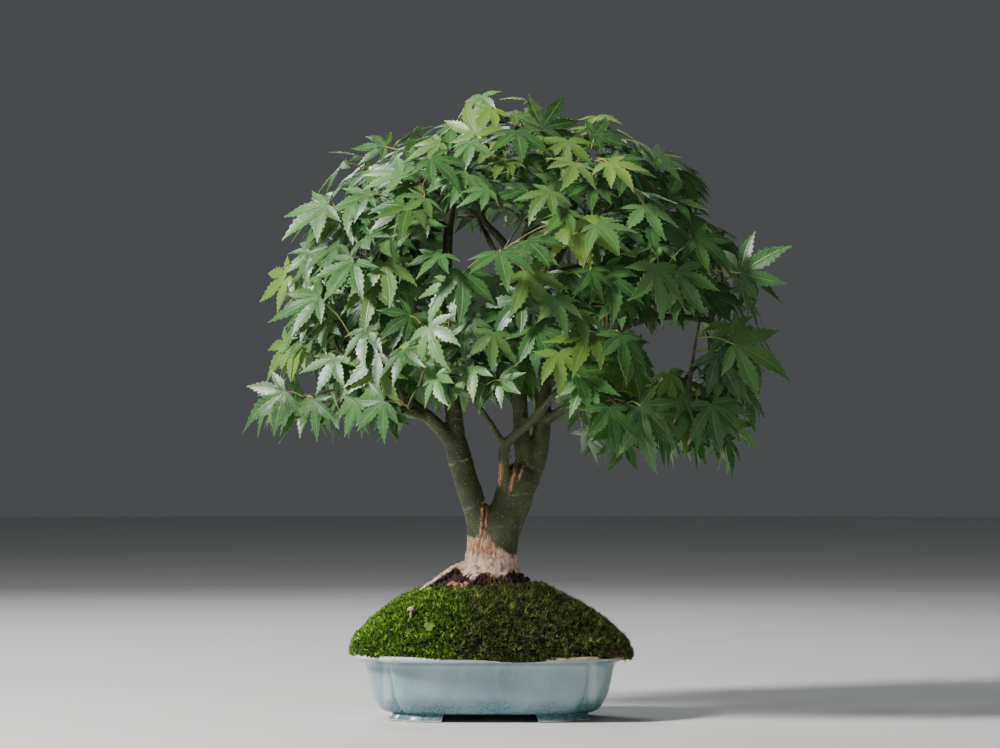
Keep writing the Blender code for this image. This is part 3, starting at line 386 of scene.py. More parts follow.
def leaf_material():
    """Blade: tint, young and dry shares ride on each leaf, veins follow its own coordinates. The tint holds
    painted shade: inner and lower leaves are darker.
    """
    p = Paint("maple_leaf")
    tint, young, dry = p.attribute("leaf_look")
    along, across, under = p.attribute("leaf_spot")
    # The tint ramp runs from deep painted shade for leaves inside the crown to lit green on its outside.
    green = p.ramp(tint, (0.0, 0.004, 0.032, 0.005), (0.35, 0.014, 0.074, 0.011), (0.7, 0.046, 0.145, 0.032),
                   (1.0, 0.130, 0.265, 0.082))
    fresh = p.ramp(tint, (0.0, 0.16, 0.30, 0.022), (1.0, 0.33, 0.46, 0.05))
    colour = p.mix(young, green, fresh)
    colour = p.mix(p.step(p.noise(190.0, 4), 0.35, 0.7), colour, (0.11, 0.24, 0.045), 0.28)
    pale = p.mix(0.55, colour, (0.25, 0.36, 0.20))
    colour = p.mix(under, colour, pale, 0.8)
    midrib = p.step(across, 0.11, 0.02)
    slant = p.maths("FRACT", p.less(p.times(along, 9.0), p.times(across, 1.6)))
    ribs = p.times(p.step(p.maths("ABSOLUTE", p.less(slant, 0.5)), 0.10, 0.02), 0.35)
    veins = p.most(midrib, ribs)
    colour = p.mix(veins, colour, (0.26, 0.38, 0.12), 0.42)
    tip = p.step(p.maths("ADD", along, p.times(dry, 0.15)), 0.99, 1.12)
    colour = p.mix(tip, colour, p.ramp(p.noise(60.0, 2), (0.4, 0.26, 0.10, 0.035), (0.6, 0.42, 0.30, 0.16)))
    p.bump(p.less(p.noise(420.0, 4), p.times(veins, 0.8)), 0.35, 0.0004)
    return p.finish(
        colour, p.times_plus(p.step(p.noise(240.0, 3), 0.0, 1.0), 0.2, 0.30), Specular_IOR_Level=0.62,
        Subsurface_Weight=0.22, Subsurface_Radius=(0.5, 1.0, 0.25), Subsurface_Scale=0.0012,
        Sheen_Weight=0.12, Sheen_Roughness=0.4,
    )


def bark_material():
    """Bark: the shares of bare, corky, thin and marked places are painted on the mesh."""
    p = Paint("maple_bark")
    cream, tan, thin = p.attribute("bark_look")
    ring, moss, peat = p.attribute("bark_marks")
    olive = p.ramp(p.noise(60.0, 6, 0.4), (0.25, 0.024, 0.034, 0.010), (0.5, 0.056, 0.070, 0.022),
                   (0.72, 0.098, 0.115, 0.042), (0.9, 0.170, 0.175, 0.090))
    streaks = p.noise(1.0, 5, 0.2, (420, 420, 60))
    olive = p.mix(p.step(streaks, 0.5, 0.75), olive, (0.036, 0.046, 0.014), 0.45)
    dark = p.ramp(p.noise(160.0, 4), (0.3, 0.018, 0.018, 0.008), (0.8, 0.066, 0.070, 0.028))
    colour = p.mix(thin, olive, dark, 0.78)
    flecks = p.times(p.step(p.cells(1.0, (380, 380, 560)), 0.27, 0.14), p.step(p.noise(120.0, 3), 0.36, 0.56))
    colour = p.mix(flecks, colour, (0.40, 0.39, 0.24), 0.7)
    colour = p.mix(moss, colour, (0.060, 0.125, 0.016), 0.8)
    pale = p.ramp(p.noise(230.0, 6, 0.5), (0.25, 0.26, 0.125, 0.075), (0.42, 0.66, 0.44, 0.32),
                  (0.65, 0.93, 0.74, 0.60))
    colour = p.mix(cream, colour, pale)
    fibres = p.noise(1.0, 5, 0.4, (620, 620, 130))
    corky = p.ramp(fibres, (0.32, 0.085, 0.034, 0.016), (0.48, 0.42, 0.205, 0.090), (0.68, 0.70, 0.46, 0.27))
    colour = p.mix(tan, colour, corky)
    colour = p.mix(ring, colour, (0.44, 0.42, 0.25))
    crack = p.step(p.noise(1.0, 4, 0.8, (480, 480, 170)), 0.62, 0.70)
    crack = p.times(crack, p.most(cream, tan))
    colour = p.mix(crack, colour, (0.07, 0.032, 0.018), 0.8)
    rotten = p.ramp(p.noise(1.0, 6, 0.6, (700, 700, 260)), (0.30, 0.008, 0.005, 0.004),
                    (0.55, 0.034, 0.018, 0.011), (0.74, 0.13, 0.070, 0.038))
    colour = p.mix(peat, colour, rotten)
    bare = p.most(p.most(cream, tan), peat)
    relief = p.times_plus(crack, -1.6, p.noise(520.0, 6))
    relief = p.times_plus(flecks, 0.9, relief)
    relief = p.times_plus(p.times(fibres, bare), 1.4, relief)
    p.bump(relief, 0.6, 0.0007)
    return p.finish(colour, p.times_plus(p.noise(200.0, 3), 0.18, p.times_plus(bare, 0.28, 0.46)))


def glaze_material():
    """Celadon glaze: cloudy blue-grey, teal speckle near the foot, tan stain on the lip; painted highlights
    on the lip and beside the creases, painted shade under the lip.
    """
    p = Paint("celadon_glaze")
    x, _, z = p.split(p.point())
    colour = p.ramp(p.noise(26.0, 5, 0.3), (0.3, 0.185, 0.285, 0.335), (0.5, 0.250, 0.360, 0.405),
                    (0.7, 0.325, 0.440, 0.475))
    colour = p.mix(p.step(p.noise(1.0, 4, 0.2, (95, 95, 16)), 0.45, 0.7), colour, (0.42, 0.52, 0.53), 0.35)
    ragged = p.times_plus(p.noise(70.0, 5), 0.011, z)
    low = p.step(ragged, 0.0245, 0.0115)
    teal = p.mix(p.step(p.noise(420.0, 4), 0.42, 0.62), (0.11, 0.24, 0.27), (0.018, 0.115, 0.135))
    colour = p.mix(low, colour, teal, 0.88)
    pits = p.times(p.step(p.cells(330.0), 0.13, 0.05), p.step(p.noise(110.0, 2), 0.55, 0.62))
    colour = p.mix(pits, colour, (0.05, 0.06, 0.055), 0.85)
    # Painted highlight: pale stripes beside the four creases, where each lobe turns to the light.
    off = p.maths("ABSOLUTE", p.less(x, POT_X))
    crease_highlight = p.times(p.step(off, 0.0665, 0.0690), p.step(off, 0.0745, 0.0715))
    crease_highlight = p.times(crease_highlight, p.step(ragged, 0.014, 0.024))
    colour = p.mix(crease_highlight, colour, (0.62, 0.69, 0.70), 0.55)
    # Painted highlight: the near-white band all round the lip. The tan stain laid on it next is the glaze's
    # own.
    lip = p.step(z, 0.0415, 0.0435)
    colour = p.mix(lip, colour, (0.74, 0.77, 0.75), 0.85)
    stained = p.times(lip, p.step(p.times_plus(p.noise(45.0, 4), 0.10, x), -0.005, 0.075))
    tan = p.mix(p.step(p.noise(300.0, 4), 0.4, 0.7), (0.36, 0.27, 0.155), (0.13, 0.075, 0.036))
    colour = p.mix(stained, colour, tan, 0.8)
    # Painted shade: a darker band just under the overhanging lip.
    under_lip_shade = p.times(p.step(z, 0.0385, 0.0405), p.step(z, 0.0425, 0.0412))
    colour = p.mix(under_lip_shade, colour, (0.10, 0.15, 0.16), 0.45)
    bare = p.step(p.times_plus(p.noise(260.0, 3), 0.0016, z), 0.0024, 0.0016)
    colour = p.mix(bare, colour, (0.50, 0.43, 0.33))
    rough = p.times_plus(p.noise(60.0, 3), 0.12, 0.13)
    for share, more in ((low, 0.16), (bare, 0.5), (stained, 0.25)):
        rough = p.times_plus(share, more, rough)
    p.bump(p.times_plus(pits, -1.2, p.noise(90.0, 3)), 0.22, 0.0005)
    return p.finish(colour, rough, Coat_Weight=0.35, Coat_Roughness=0.08)


def moss_material(name):
    """Moss: bright on the left and olive on the right by each stem's own share, paler to its tip. The olive
    is also darkened as painted shade.
    """
    p = Paint(name)
    tint, height, olive = p.attribute("moss_look")
    straw, skin, _ = p.attribute("moss_kind")
    bright = p.ramp(tint, (0.0, 0.003, 0.016, 0.001), (0.45, 0.022, 0.086, 0.003), (0.8, 0.095, 0.230, 0.008),
                    (1.0, 0.42, 0.62, 0.06))
    # The olive ramp runs nearly to black: olive moss darkened as painted shade on the right.
    shaded_olive = p.ramp(tint, (0.0, 0.001, 0.004, 0.001), (0.5, 0.008, 0.022, 0.002), (0.85, 0.055, 0.090, 0.009),
                  (1.0, 0.34, 0.40, 0.09))
    colour = p.mix(olive, bright, shaded_olive)
    tip = p.mix(olive, (0.30, 0.48, 0.04), (0.20, 0.25, 0.05))
    colour = p.mix(p.times_plus(tint, 0.70, 0.0), colour, tip, height)
    colour = p.mix(straw, colour, (0.26, 0.17, 0.055), 0.8)
    peat = p.ramp(p.noise(420.0, 4), (0.35, 0.005, 0.011, 0.002), (0.7, 0.016, 0.032, 0.005))
    colour = p.mix(skin, colour, peat)
    p.bump(p.noise(900.0, 4), 0.5, 0.0005)
    return p.finish(
        colour, p.times_plus(skin, 0.42, 0.55), Specular_IOR_Level=0.3, Subsurface_Weight=0.12,
        Subsurface_Radius=(0.5, 1.0, 0.2), Subsurface_Scale=0.0012,
    )


def mottled_material(name, stops, pattern, grain, roughness):
    """A material coloured by one noise, (scale, detail, distortion), with a finer one as its relief."""
    p = Paint(name)
    scale, detail, strength, distance = grain
    p.bump(p.noise(scale, detail), strength, distance)
    return p.finish(p.ramp(p.noise(*pattern), *stops), roughness)


def plain_material(name, dark, light, scale, roughness):
    stops = (0.3, *dark), (0.7, *light)
    return mottled_material(name, stops, (scale, 4), (scale * 3, 3, 0.3, 0.0003), roughness)


def stalk_material():
    stops = (0.3, 0.24, 0.27, 0.06), (0.55, 0.30, 0.30, 0.09), (0.75, 0.34, 0.10, 0.05)
    return mottled_material("leaf_stalk", stops, (55.0, 2), (900.0, 2, 0.2, 0.0002), 0.42)


def twig_material():
    stops = (0.3, 0.030, 0.024, 0.012), (0.55, 0.070, 0.072, 0.028), (0.8, 0.15, 0.145, 0.075)
    return mottled_material("twig_bark", stops, (140.0, 5), (800.0, 4, 0.35, 0.0003), 0.6)


def soil_material():
    stops = ((0.25, 0.010, 0.006, 0.004), (0.5, 0.036, 0.020, 0.012), (0.68, 0.085, 0.045, 0.024),
             (0.82, 0.19, 0.105, 0.052))
    return mottled_material("root_soil", stops, (380.0, 7, 0.3), (650.0, 6, 0.9, 0.0012), 0.92)


def chip_material():
    stops = (0.3, 0.022, 0.011, 0.006), (0.5, 0.085, 0.040, 0.018), (0.72, 0.26, 0.14, 0.065)
    return mottled_material("bark_chips", stops, (95.0, 3), (700.0, 5, 0.7, 0.0006), 0.8)


# ---------------------------------------------------------------- mesh helpers


class Body:
    """Gathers points in millimetres, triangles or quads, point attributes and material numbers."""

    def __init__(self, *attributes):
        self.points = []
        self.faces = []
        self.slots = []
        self.values = {name: [] for name in attributes}
        self.count = 0

    def add(self, points, faces, slot=0, **values):
        points = np.asarray(points, float)
        faces = np.asarray(faces, int)
        self.points.append(points)
        self.faces.append(faces + self.count)
        self.slots.append(np.full(len(faces), slot))
        for name in self.values:
            given = np.asarray(values.get(name, (0.0, 0.0, 0.0)), float)
            self.values[name].append(np.broadcast_to(given, (len(points), 3)))
        self.count += len(points)

    def add_rings(self, rings, slot=0):
        """A closed body through rings of equal count, with a fan of triangles over each end."""
        rings = [np.asarray(ring, float) for ring in rings]
        around, last = len(rings[0]), len(rings[0]) * (len(rings) - 1)
        low = last + around
        i = np.arange(around)
        j = (i + 1) % around
        belt = np.stack([i, j, j + around, i + around], axis=1)
        fans = np.stack([np.full(around, low), j, i, np.full(around, low + 1), last + i, last + j], axis=1)
        start = self.count
        points = np.concatenate(rings + [rings[0].mean(0)[None], rings[-1].mean(0)[None]])
        self.add(points, np.concatenate([belt + row * around for row in range(len(rings) - 1)]), slot)
        self.faces.append(fans.reshape(-1, 3) + start)
        self.slots.append(np.full(2 * around, slot))

    def add_tube(self, route, radii, sides, slot=0):
        """A closed round tube along a route, with its frame carried along it."""
        route = np.array([tuple(p) for p in route], float)
        ahead = np.gradient(route, axis=0)
        ahead /= np.linalg.norm(ahead, axis=1)[:, None] + 1e-12
        side = np.cross(ahead[0], UP)
        if np.linalg.norm(side) < 1e-3:
            side = np.array((1.0, 0.0, 0.0))
        rings = []
        angles = full_turn(sides)
        for middle, way, radius in zip(route, ahead, radii):
            side = side - way * side.dot(way)
            side /= np.linalg.norm(side)
            top = np.cross(side, way)
            rings.append(middle + radius * (np.outer(np.cos(angles), side) - np.outer(np.sin(angles), top)))
        self.add_rings(rings, slot)

    def build(self, name, materials, sharp=None):
        """The object, with smooth shading up to the sharp angle in degrees."""
        points = np.concatenate(self.points) * MM + np.array((POT_X, POT_Y, 0.0))
        mesh = bpy.data.meshes.new(name)
        mesh.vertices.add(len(points))
        mesh.vertices.foreach_set("co", points.ravel())
        sizes = np.concatenate([np.full(len(f), f.shape[1]) for f in self.faces])
        loops = np.concatenate([f.ravel() for f in self.faces])
        mesh.loops.add(len(loops))
        mesh.loops.foreach_set("vertex_index", loops)
        mesh.polygons.add(len(sizes))
        mesh.polygons.foreach_set("loop_start", np.concatenate([[0], np.cumsum(sizes)[:-1]]))
        mesh.polygons.foreach_set("material_index", np.concatenate(self.slots))
        mesh.update(calc_edges=True)
        mesh.validate()
        for key, parts in self.values.items():
            layer = mesh.attributes.new(key, "FLOAT_VECTOR", "POINT")
            layer.data.foreach_set("vector", np.concatenate(parts).ravel())
        mesh.shade_smooth()
        if sharp is not None:
            mesh.set_sharp_from_angle(angle=math.radians(sharp))
        for mat in materials:
            mesh.materials.append(mat)
        return linked(name, mesh)


def set_piece(obj, slot, *nodes):
    """Attaches the object to the root body and hides the CAD nodes that it stands for."""
    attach(obj, "root")
    if nodes:
        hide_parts(*nodes)


def full_turn(count):
    """Angles evenly round a full turn."""
    return np.linspace(0, 2 * np.pi, count, endpoint=False)


def smooth_route(points, spacing):
    """Points about that far apart along a smooth curve through the given ones."""
    points = [Vector(p) for p in points]
    ends = [points[0] * 2 - points[1]] + points + [points[-1] * 2 - points[-2]]
    route = []
    for a, b, c, d in zip(ends, ends[1:], ends[2:], ends[3:]):
        steps = max(1, round((c - b).length / spacing))
        for i in range(steps):
            t = i / steps
            route.append(
                0.5 * (2 * b + (c - a) * t + (2 * a - 5 * b + 4 * c - d) * t * t
                       + (3 * b - a - 3 * c + d) * t ** 3)
            )
    route.append(points[-1])
    return route


def radii_along(count, start, end):
    return [start + (end - start) * i / (count - 1) for i in range(count)]


def smoothstep(value, low, high):
    share = min(1.0, max(0.0, (value - low) / (high - low)))
    return share * share * (3 - 2 * share)


# ---------------------------------------------------------------- pot


def lobed_ring(half_x, z, front_steps=64, side_steps=44):
    """The four-lobed plan at a height: rounded lobes that meet in a crease at each corner."""
    half_y = half_x - POT_DEPTH_LESS
    crease_x = half_x * LOBE_SHARE_X
    crease_y = half_y * LOBE_SHARE_Y
    ring = []
    for quarter in range(4):
        along_x = quarter % 2 == 0
        steps = front_steps if along_x else side_steps
        power = FRONT_LOBE_POWER if along_x else SIDE_LOBE_POWER
        span = crease_x if along_x else crease_y
        base = crease_y if along_x else crease_x
        rise = (half_y - crease_y) if along_x else (half_x - crease_x)
        for i in range(steps):
            angle = math.pi * i / steps
            along = -math.copysign(abs(math.cos(angle)) ** (2 / power), math.cos(angle)) * span
            out = base + rise * math.sin(angle) ** (2 / power)
            turn = quarter * math.pi / 2
            x, y = along, -out
            ring.append((x * math.cos(turn) - y * math.sin(turn), x * math.sin(turn) + y * math.cos(turn), z))
    return ring


def pot_rings(profile, spacing):
    """Rings on a smooth curve through a profile's heights and half widths."""
    route = smooth_route([(half, z, 0) for z, half in profile], spacing)
    return [lobed_ring(half, z) for half, z, _ in route]


def boolean(target, cutter, operation):
    """Applies one Boolean. The manifold solver steps in where the exact one loses the target."""
    low = min(corner[2] for corner in target.bound_box)
    high = max(corner[2] for corner in target.bound_box)
    for solver in ("EXACT", "MANIFOLD"):
        modifier = target.modifiers.new(operation.lower(), "BOOLEAN")
        modifier.operation = operation
        modifier.solver = solver
        modifier.object = cutter
        joined = evaluated_mesh(target)
        target.modifiers.clear()
        heights = [vert.co.z for vert in joined.vertices] or [0.0]
        if max(heights) - min(heights) > 0.9 * (high - low):
            break
    target.data = joined
    bpy.data.objects.remove(cutter, do_unlink=True)
    bpy.context.view_layer.update()


def outward(obj):
    """Turns a closed mesh's faces out."""
    bm = bmesh.new()
    bm.from_mesh(obj.data)
    bmesh.ops.recalc_face_normals(bm, faces=bm.faces)
    bm.to_mesh(obj.data)
    bm.free()
    return obj


def loft_object(name, rings, materials=()):
    body = Body()
    body.add_rings(rings)
    return outward(body.build(name, materials))


def make_feet():
    """Four feet: a low skirt that flares from the foot of the wall, cut through both ways."""
    feet = loft_object("feet", [lobed_ring(half, z) for z, half in FOOT_PROFILE])
    hollow = [lobed_ring(FOOT_PROFILE[0][1] - FOOT_DEPTH, z) for z in FOOT_CUT]
    boolean(feet, loft_object("hollow", hollow), "DIFFERENCE")
    for low_x, low_y, top_x, top_y in FOOT_GAPS:
        gap = [
            [(-half_x, -half_y, z), (half_x, -half_y, z), (half_x, half_y, z), (-half_x, half_y, z)]
            for half_x, half_y, z in ((low_x, low_y, FOOT_CUT[0]), (top_x, top_y, FOOT_CUT[1]))
        ]
        boolean(feet, loft_object("gap", gap), "DIFFERENCE")
    return feet


def make_pot():
    rings = pot_rings(POT_OUTSIDE, 1.6) + pot_rings(POT_INSIDE, 3.0)
    pot = loft_object("glazed_pot", rings, [glaze_material()])
    boolean(pot, make_feet(), "UNION")
    for side in (-1, 1):
        drain = [
            [(side * DRAIN_X + DRAIN_RADIUS * math.cos(a), DRAIN_RADIUS * math.sin(a), z)
             for a in full_turn(40)]
            for z in (-4.0, POT_FLOOR + 4.0)
        ]
        boolean(pot, loft_object("drain_hole", drain), "DIFFERENCE")
    pot.data.shade_smooth()
    pot.data.set_sharp_from_angle(angle=math.radians(POT_SHARP_ANGLE))
    set_piece(pot, "glazed_pot", "pot")


def make_drainage_meshes():
    """The plastic screens: a frame of crossing round bars over each drainage hole."""
    mat = plain_material("black_plastic", (0.012, 0.012, 0.013), (0.03, 0.03, 0.032), 300.0, 0.45)
    for name in ("drainage_mesh_left", "drainage_mesh_right"):
        low, high = node_box(name)
        body = Body()
        bars = 9
        radius = (high.z - low.z) * 0.27
        for i in range(bars):
            t = (i + 0.35) / (bars - 0.3)
            x = low.x + (high.x - low.x) * t
            y = low.y + (high.y - low.y) * t
            body.add_tube([(x, low.y, low.z + radius), (x, high.y, low.z + radius)], (radius, radius), 8)
            body.add_tube([(low.x, y, high.z - radius), (high.x, y, high.z - radius)], (radius, radius), 8)
        screen = outward(body.build(name.replace("mesh", "screen"), [mat], sharp=50))
        set_piece(screen, "drainage_plastic", name)


# ---------------------------------------------------------------- mound


def mound_edge(angle):
    """How far the moss reaches from the trunk at an angle."""
    c, s = abs(math.cos(angle)) / MOSS_HALF_X, abs(math.sin(angle)) / MOSS_HALF_Y
    return (c ** MOUND_SQUARENESS + s ** MOUND_SQUARENESS) ** (-1 / MOUND_SQUARENESS)


def mound_spot(angle, share):
    """x and y at a share of the way from the trunk out to the moss's edge."""
    reach = mound_edge(angle) * share
    return reach * math.cos(angle), reach * math.sin(angle)


def mound_rise(share):
    """Height of the mound as a share, at a share of the way out."""
    return (1 - min(max(share, 0.0), 1.0) ** 3) ** 0.7


def soil_top(share):
    return RIM_TOP - 1.5 + SOIL_RISE * mound_rise(share / SOIL_SHARE)


def settled(x, share):
    """How much lower the mound lies towards its right, and a little towards its left."""
    slope = smoothstep(share, 0.35, 0.6) * smoothstep(-share, -1.0, -0.9)
    return (6.0 * smoothstep(x, 14, 60) + 2.6 * smoothstep(-x, 40, 80)) * slope


def moss_top(share):
    return RIM_TOP + 1.2 + MOSS_RISE * mound_rise(share)


def hole_share(angle):
    """Where the moss ends round the trunk, as a share of the way out."""
    x, half_x, half_y = MOSS_HOLE
    reach = 1 / math.hypot(math.cos(angle) / half_x, math.sin(angle) / half_y)
    reach += x * math.cos(angle)
    return reach / mound_edge(angle)


def lumps(x, y, z, size, depth=3):
    """Fractal noise about 0, with lumps about that size."""
    return noise.fractal(Vector((x, y, z)) / size, 0.9, 2.0, depth)


def make_soil():
    """The soil: fills the pot to its wall, with a crumbly top that rises to the roots."""
    rings = [lobed_ring(69.5 + (z - 12.0) * 0.32, z, 52, 38) for z in SOIL_WALL_HEIGHTS]
    angles = [math.atan2(y, x) for x, y, z in rings[-1]]
    for share in np.concatenate([np.linspace(0.81, 0.5, 10), np.linspace(0.48, 0.02, 44)]):
        ring = []
        for angle in angles:
            x, y = mound_spot(angle, share)
            rough = lumps(x, y, 3.0, 5.0, 4) * 1.3 + lumps(x, y, 9.0, 1.7, 2) * 0.5
            crown_of_roots = 1.2 * smoothstep(0.5 - share, 0, 0.3) + 7.5 * smoothstep(0.44 - share, 0, 0.24)
            ring.append((x, y, soil_top(share) + crown_of_roots + rough - 0.9 * settled(x, share)))
        rings.append(ring)
    set_piece(loft_object("soil_mound", rings, [soil_material()]), "soil", "soil")


def flare_point(angle, z, out):
    """A point on the flared base of the trunks, or so far outside it."""
    for (z0, m0, a0, b0), (z1, m1, a1, b1) in zip(FLARE_SECTIONS, FLARE_SECTIONS[1:]):
        if z <= z1:
            t = (z - z0) / (z1 - z0)
            middle, half_x, half_y = m0 + (m1 - m0) * t, a0 + (a1 - a0) * t, b0 + (b1 - b0) * t
            return Vector((middle + (half_x + out) * math.cos(angle), (half_y + out) * math.sin(angle), z))
    return Vector((0, 0, z))


CHIPS = 330
RUST_CHIPS = 22
FIBRES = 340
ROOTLETS = 120
HANGING_ROOTLETS = 26


def make_chips():
    """Bark chips, crumbs and rootlets on the bare soil round the trunk and along the rim."""
    draws = random.Random(CHIP_SEED)
    body = Body()
    for _ in range(CHIPS):
        if draws.random() < 0.62:
            angle = draws.uniform(0, 2 * math.pi)
            share = hole_share(angle) * draws.uniform(0.70, 1.06)
            size = draws.uniform(0.8, 2.6)
            lift = soil_top(share) + 1.0
        else:
            angle = draws.uniform(0, 2 * math.pi)
            share = draws.uniform(0.955, 0.992)
            size = draws.uniform(0.5, 1.2)
            lift = RIM_TOP + 0.5
        middle = Vector((*mound_spot(angle, share), lift + size * 0.35))
        lie = Vector((draws.uniform(-1, 1), draws.uniform(-1, 1), draws.uniform(-0.4, 0.4))).normalized()
        half = size * draws.uniform(0.7, 1.6)
        route = [middle + lie * half * t for t in (-1.0, -0.5, 0.0, 0.6, 1.0)]
        radii = [size * s * draws.uniform(0.8, 1.2) for s in (0.16, 0.42, 0.5, 0.4, 0.14)]
        body.add_tube(route, radii, 6)
    for _ in range(RUST_CHIPS):
        middle = Vector((draws.uniform(-29, -16), draws.uniform(-22, -17), draws.uniform(86.0, 95.0)))
        lie = Vector((draws.uniform(-1, 1), draws.uniform(-0.3, 0.3), draws.uniform(-0.6, 0.6))).normalized()
        size = draws.uniform(1.8, 3.6)
        route = [middle + lie * size * t for t in (-1.0, -0.4, 0.4, 1.0)]
        body.add_tube(route, [size * s * draws.uniform(0.8, 1.2) for s in (0.3, 0.65, 0.6, 0.25)], 7, slot=1)
    for _ in range(FIBRES):
        angle = draws.uniform(0, 2 * math.pi)
        top = draws.uniform(93.0, 101.5)
        start = flare_point(angle, top, 0.6)
        turned = angle + draws.uniform(-0.35, 0.35)
        low = flare_point(turned, top - draws.uniform(5, 12), draws.uniform(1.0, 4.5))
        middle = (start + low) / 2 + Vector([draws.uniform(-1.6, 1.6) for _ in range(3)])
        route = smooth_route([start, middle, low], 1.6)
        body.add_tube(route, radii_along(len(route), draws.uniform(0.25, 0.6), 0.15), 5)
    for _ in range(ROOTLETS):
        angle = draws.uniform(0, 2 * math.pi)
        share = hole_share(angle) * draws.uniform(0.74, 1.1)
        spot = Vector((*mound_spot(angle, share), soil_top(share) + 1.6))
        step = Vector((draws.uniform(-4, 4), draws.uniform(-4, 4), draws.uniform(-1.5, 1.5)))
        route = smooth_route([spot, spot + step + Vector((0, 0, 1.4)), spot + step * 2], 1.2)
        body.add_tube(route, radii_along(len(route), 0.32, 0.12), 5)
    for _ in range(HANGING_ROOTLETS):
        angle = draws.uniform(-0.75, 0.25)
        top = Vector((*mound_spot(angle, 0.995), RIM_TOP + 2.5))
        out = Vector((math.cos(angle), math.sin(angle), 0))
        fall = draws.uniform(3.0, 8.5)
        route = smooth_route([top - out * 2, top + out * draws.uniform(1.0, 2.6),
                              top + out * draws.uniform(1.5, 3.2) - Vector((0, 0, fall))], 1.5)
        body.add_tube(route, radii_along(len(route), 0.28, 0.12), 5)
    rust = plain_material("rust_chips", (0.20, 0.065, 0.035), (0.62, 0.30, 0.19), 260.0, 0.8)
    chips = outward(body.build("bark_chips", [chip_material(), rust], sharp=70))
    set_piece(chips, "soil")


def moss_overhang(angle):
    """How far the moss hangs over the lip at an angle: on the front a little, and at the right end."""
    front = math.exp(-((angle + 1.28) / 0.36) ** 2)
    right = math.exp(-((angle + 0.25) / 0.34) ** 2)
    return max(0.8 * front, right)


def olive_and_shade_share(x, y, z):
    """How olive, and how darkened by painted shade, the moss is at a point: none on the left, all of it on
    the right, ragged between.
    """
    return smoothstep(x + 16 * lumps(x, y, z, 17.0) + 9 * lumps(x, y, z, 4.5), -44.0, -2.0)


def cushion_grid(start, end, around, across):
    """A rough skin of the moss between two angles, as rows from the trunk out to the rim."""
    rows = []
    for j in range(across + 1):
        step = (j / across) ** 0.85
        row = []
        for i in range(around + 1):
            angle = start + (end - start) * i / around
            away = math.cos(angle) * 60, math.sin(angle) * 60
            hang = moss_overhang((angle + math.pi) % (2 * math.pi) - math.pi)
            outer = 0.990 + 0.012 * lumps(*away, 0, 7.0) + 0.016 * hang
            first = hole_share(angle) * (1 + 0.12 * lumps(away[0] / 2, away[1] / 2, 7, 8.0))
            share = first + (outer - first) * step
            x, y = mound_spot(angle, share)
            height = moss_top(min(share, 0.999)) - 1.6 - settled(x, share)
            height += 2.1 * lumps(x, y, height, 13.0) + 1.4 * lumps(x, y, height, 4.2)
            height += 0.8 * lumps(x, y, height, 2.0, 2)
            inner = smoothstep(step, 0.0, 0.10)
            height = height * inner + (soil_top(share) + 1.0) * (1 - inner)
            fall = smoothstep(step, 0.955, 1.0)
            edge = RIM_TOP - 0.8 - 3.2 * hang
            row.append((x, y, max(height, RIM_TOP + 1.0) * (1 - fall) + edge * fall))
        rows.append(row)
    return np.array(rows)


def cushion_body(grid, drop):
    """Closes the skin with a lower copy of itself and four edges."""
    rows, columns = grid.shape[:2]
    top = grid.reshape(-1, 3)
    low = top.copy()
    low[:, :2] *= 0.985
    low[:, 2] = np.minimum(np.maximum(low[:, 2] - drop, RIM_TOP - 1.0), top[:, 2] - 0.3)
    count = len(top)
    index = np.arange(count).reshape(rows, columns)
    a, b, c, d = index[:-1, :-1], index[:-1, 1:], index[1:, 1:], index[1:, :-1]
    upper = np.stack([a, d, c, b], axis=-1).reshape(-1, 4)
    lower = upper[:, ::-1] + count
    rim = np.concatenate([index[0, ::-1], index[1:, 0], index[-1, 1:], index[-2:0:-1, -1]])
    sides = [(rim[i], rim[(i + 1) % len(rim)], rim[(i + 1) % len(rim)] + count, rim[i] + count)
             for i in range(len(rim))]
    return np.concatenate([top, low]), np.concatenate([upper, lower, np.array(sides)]), upper


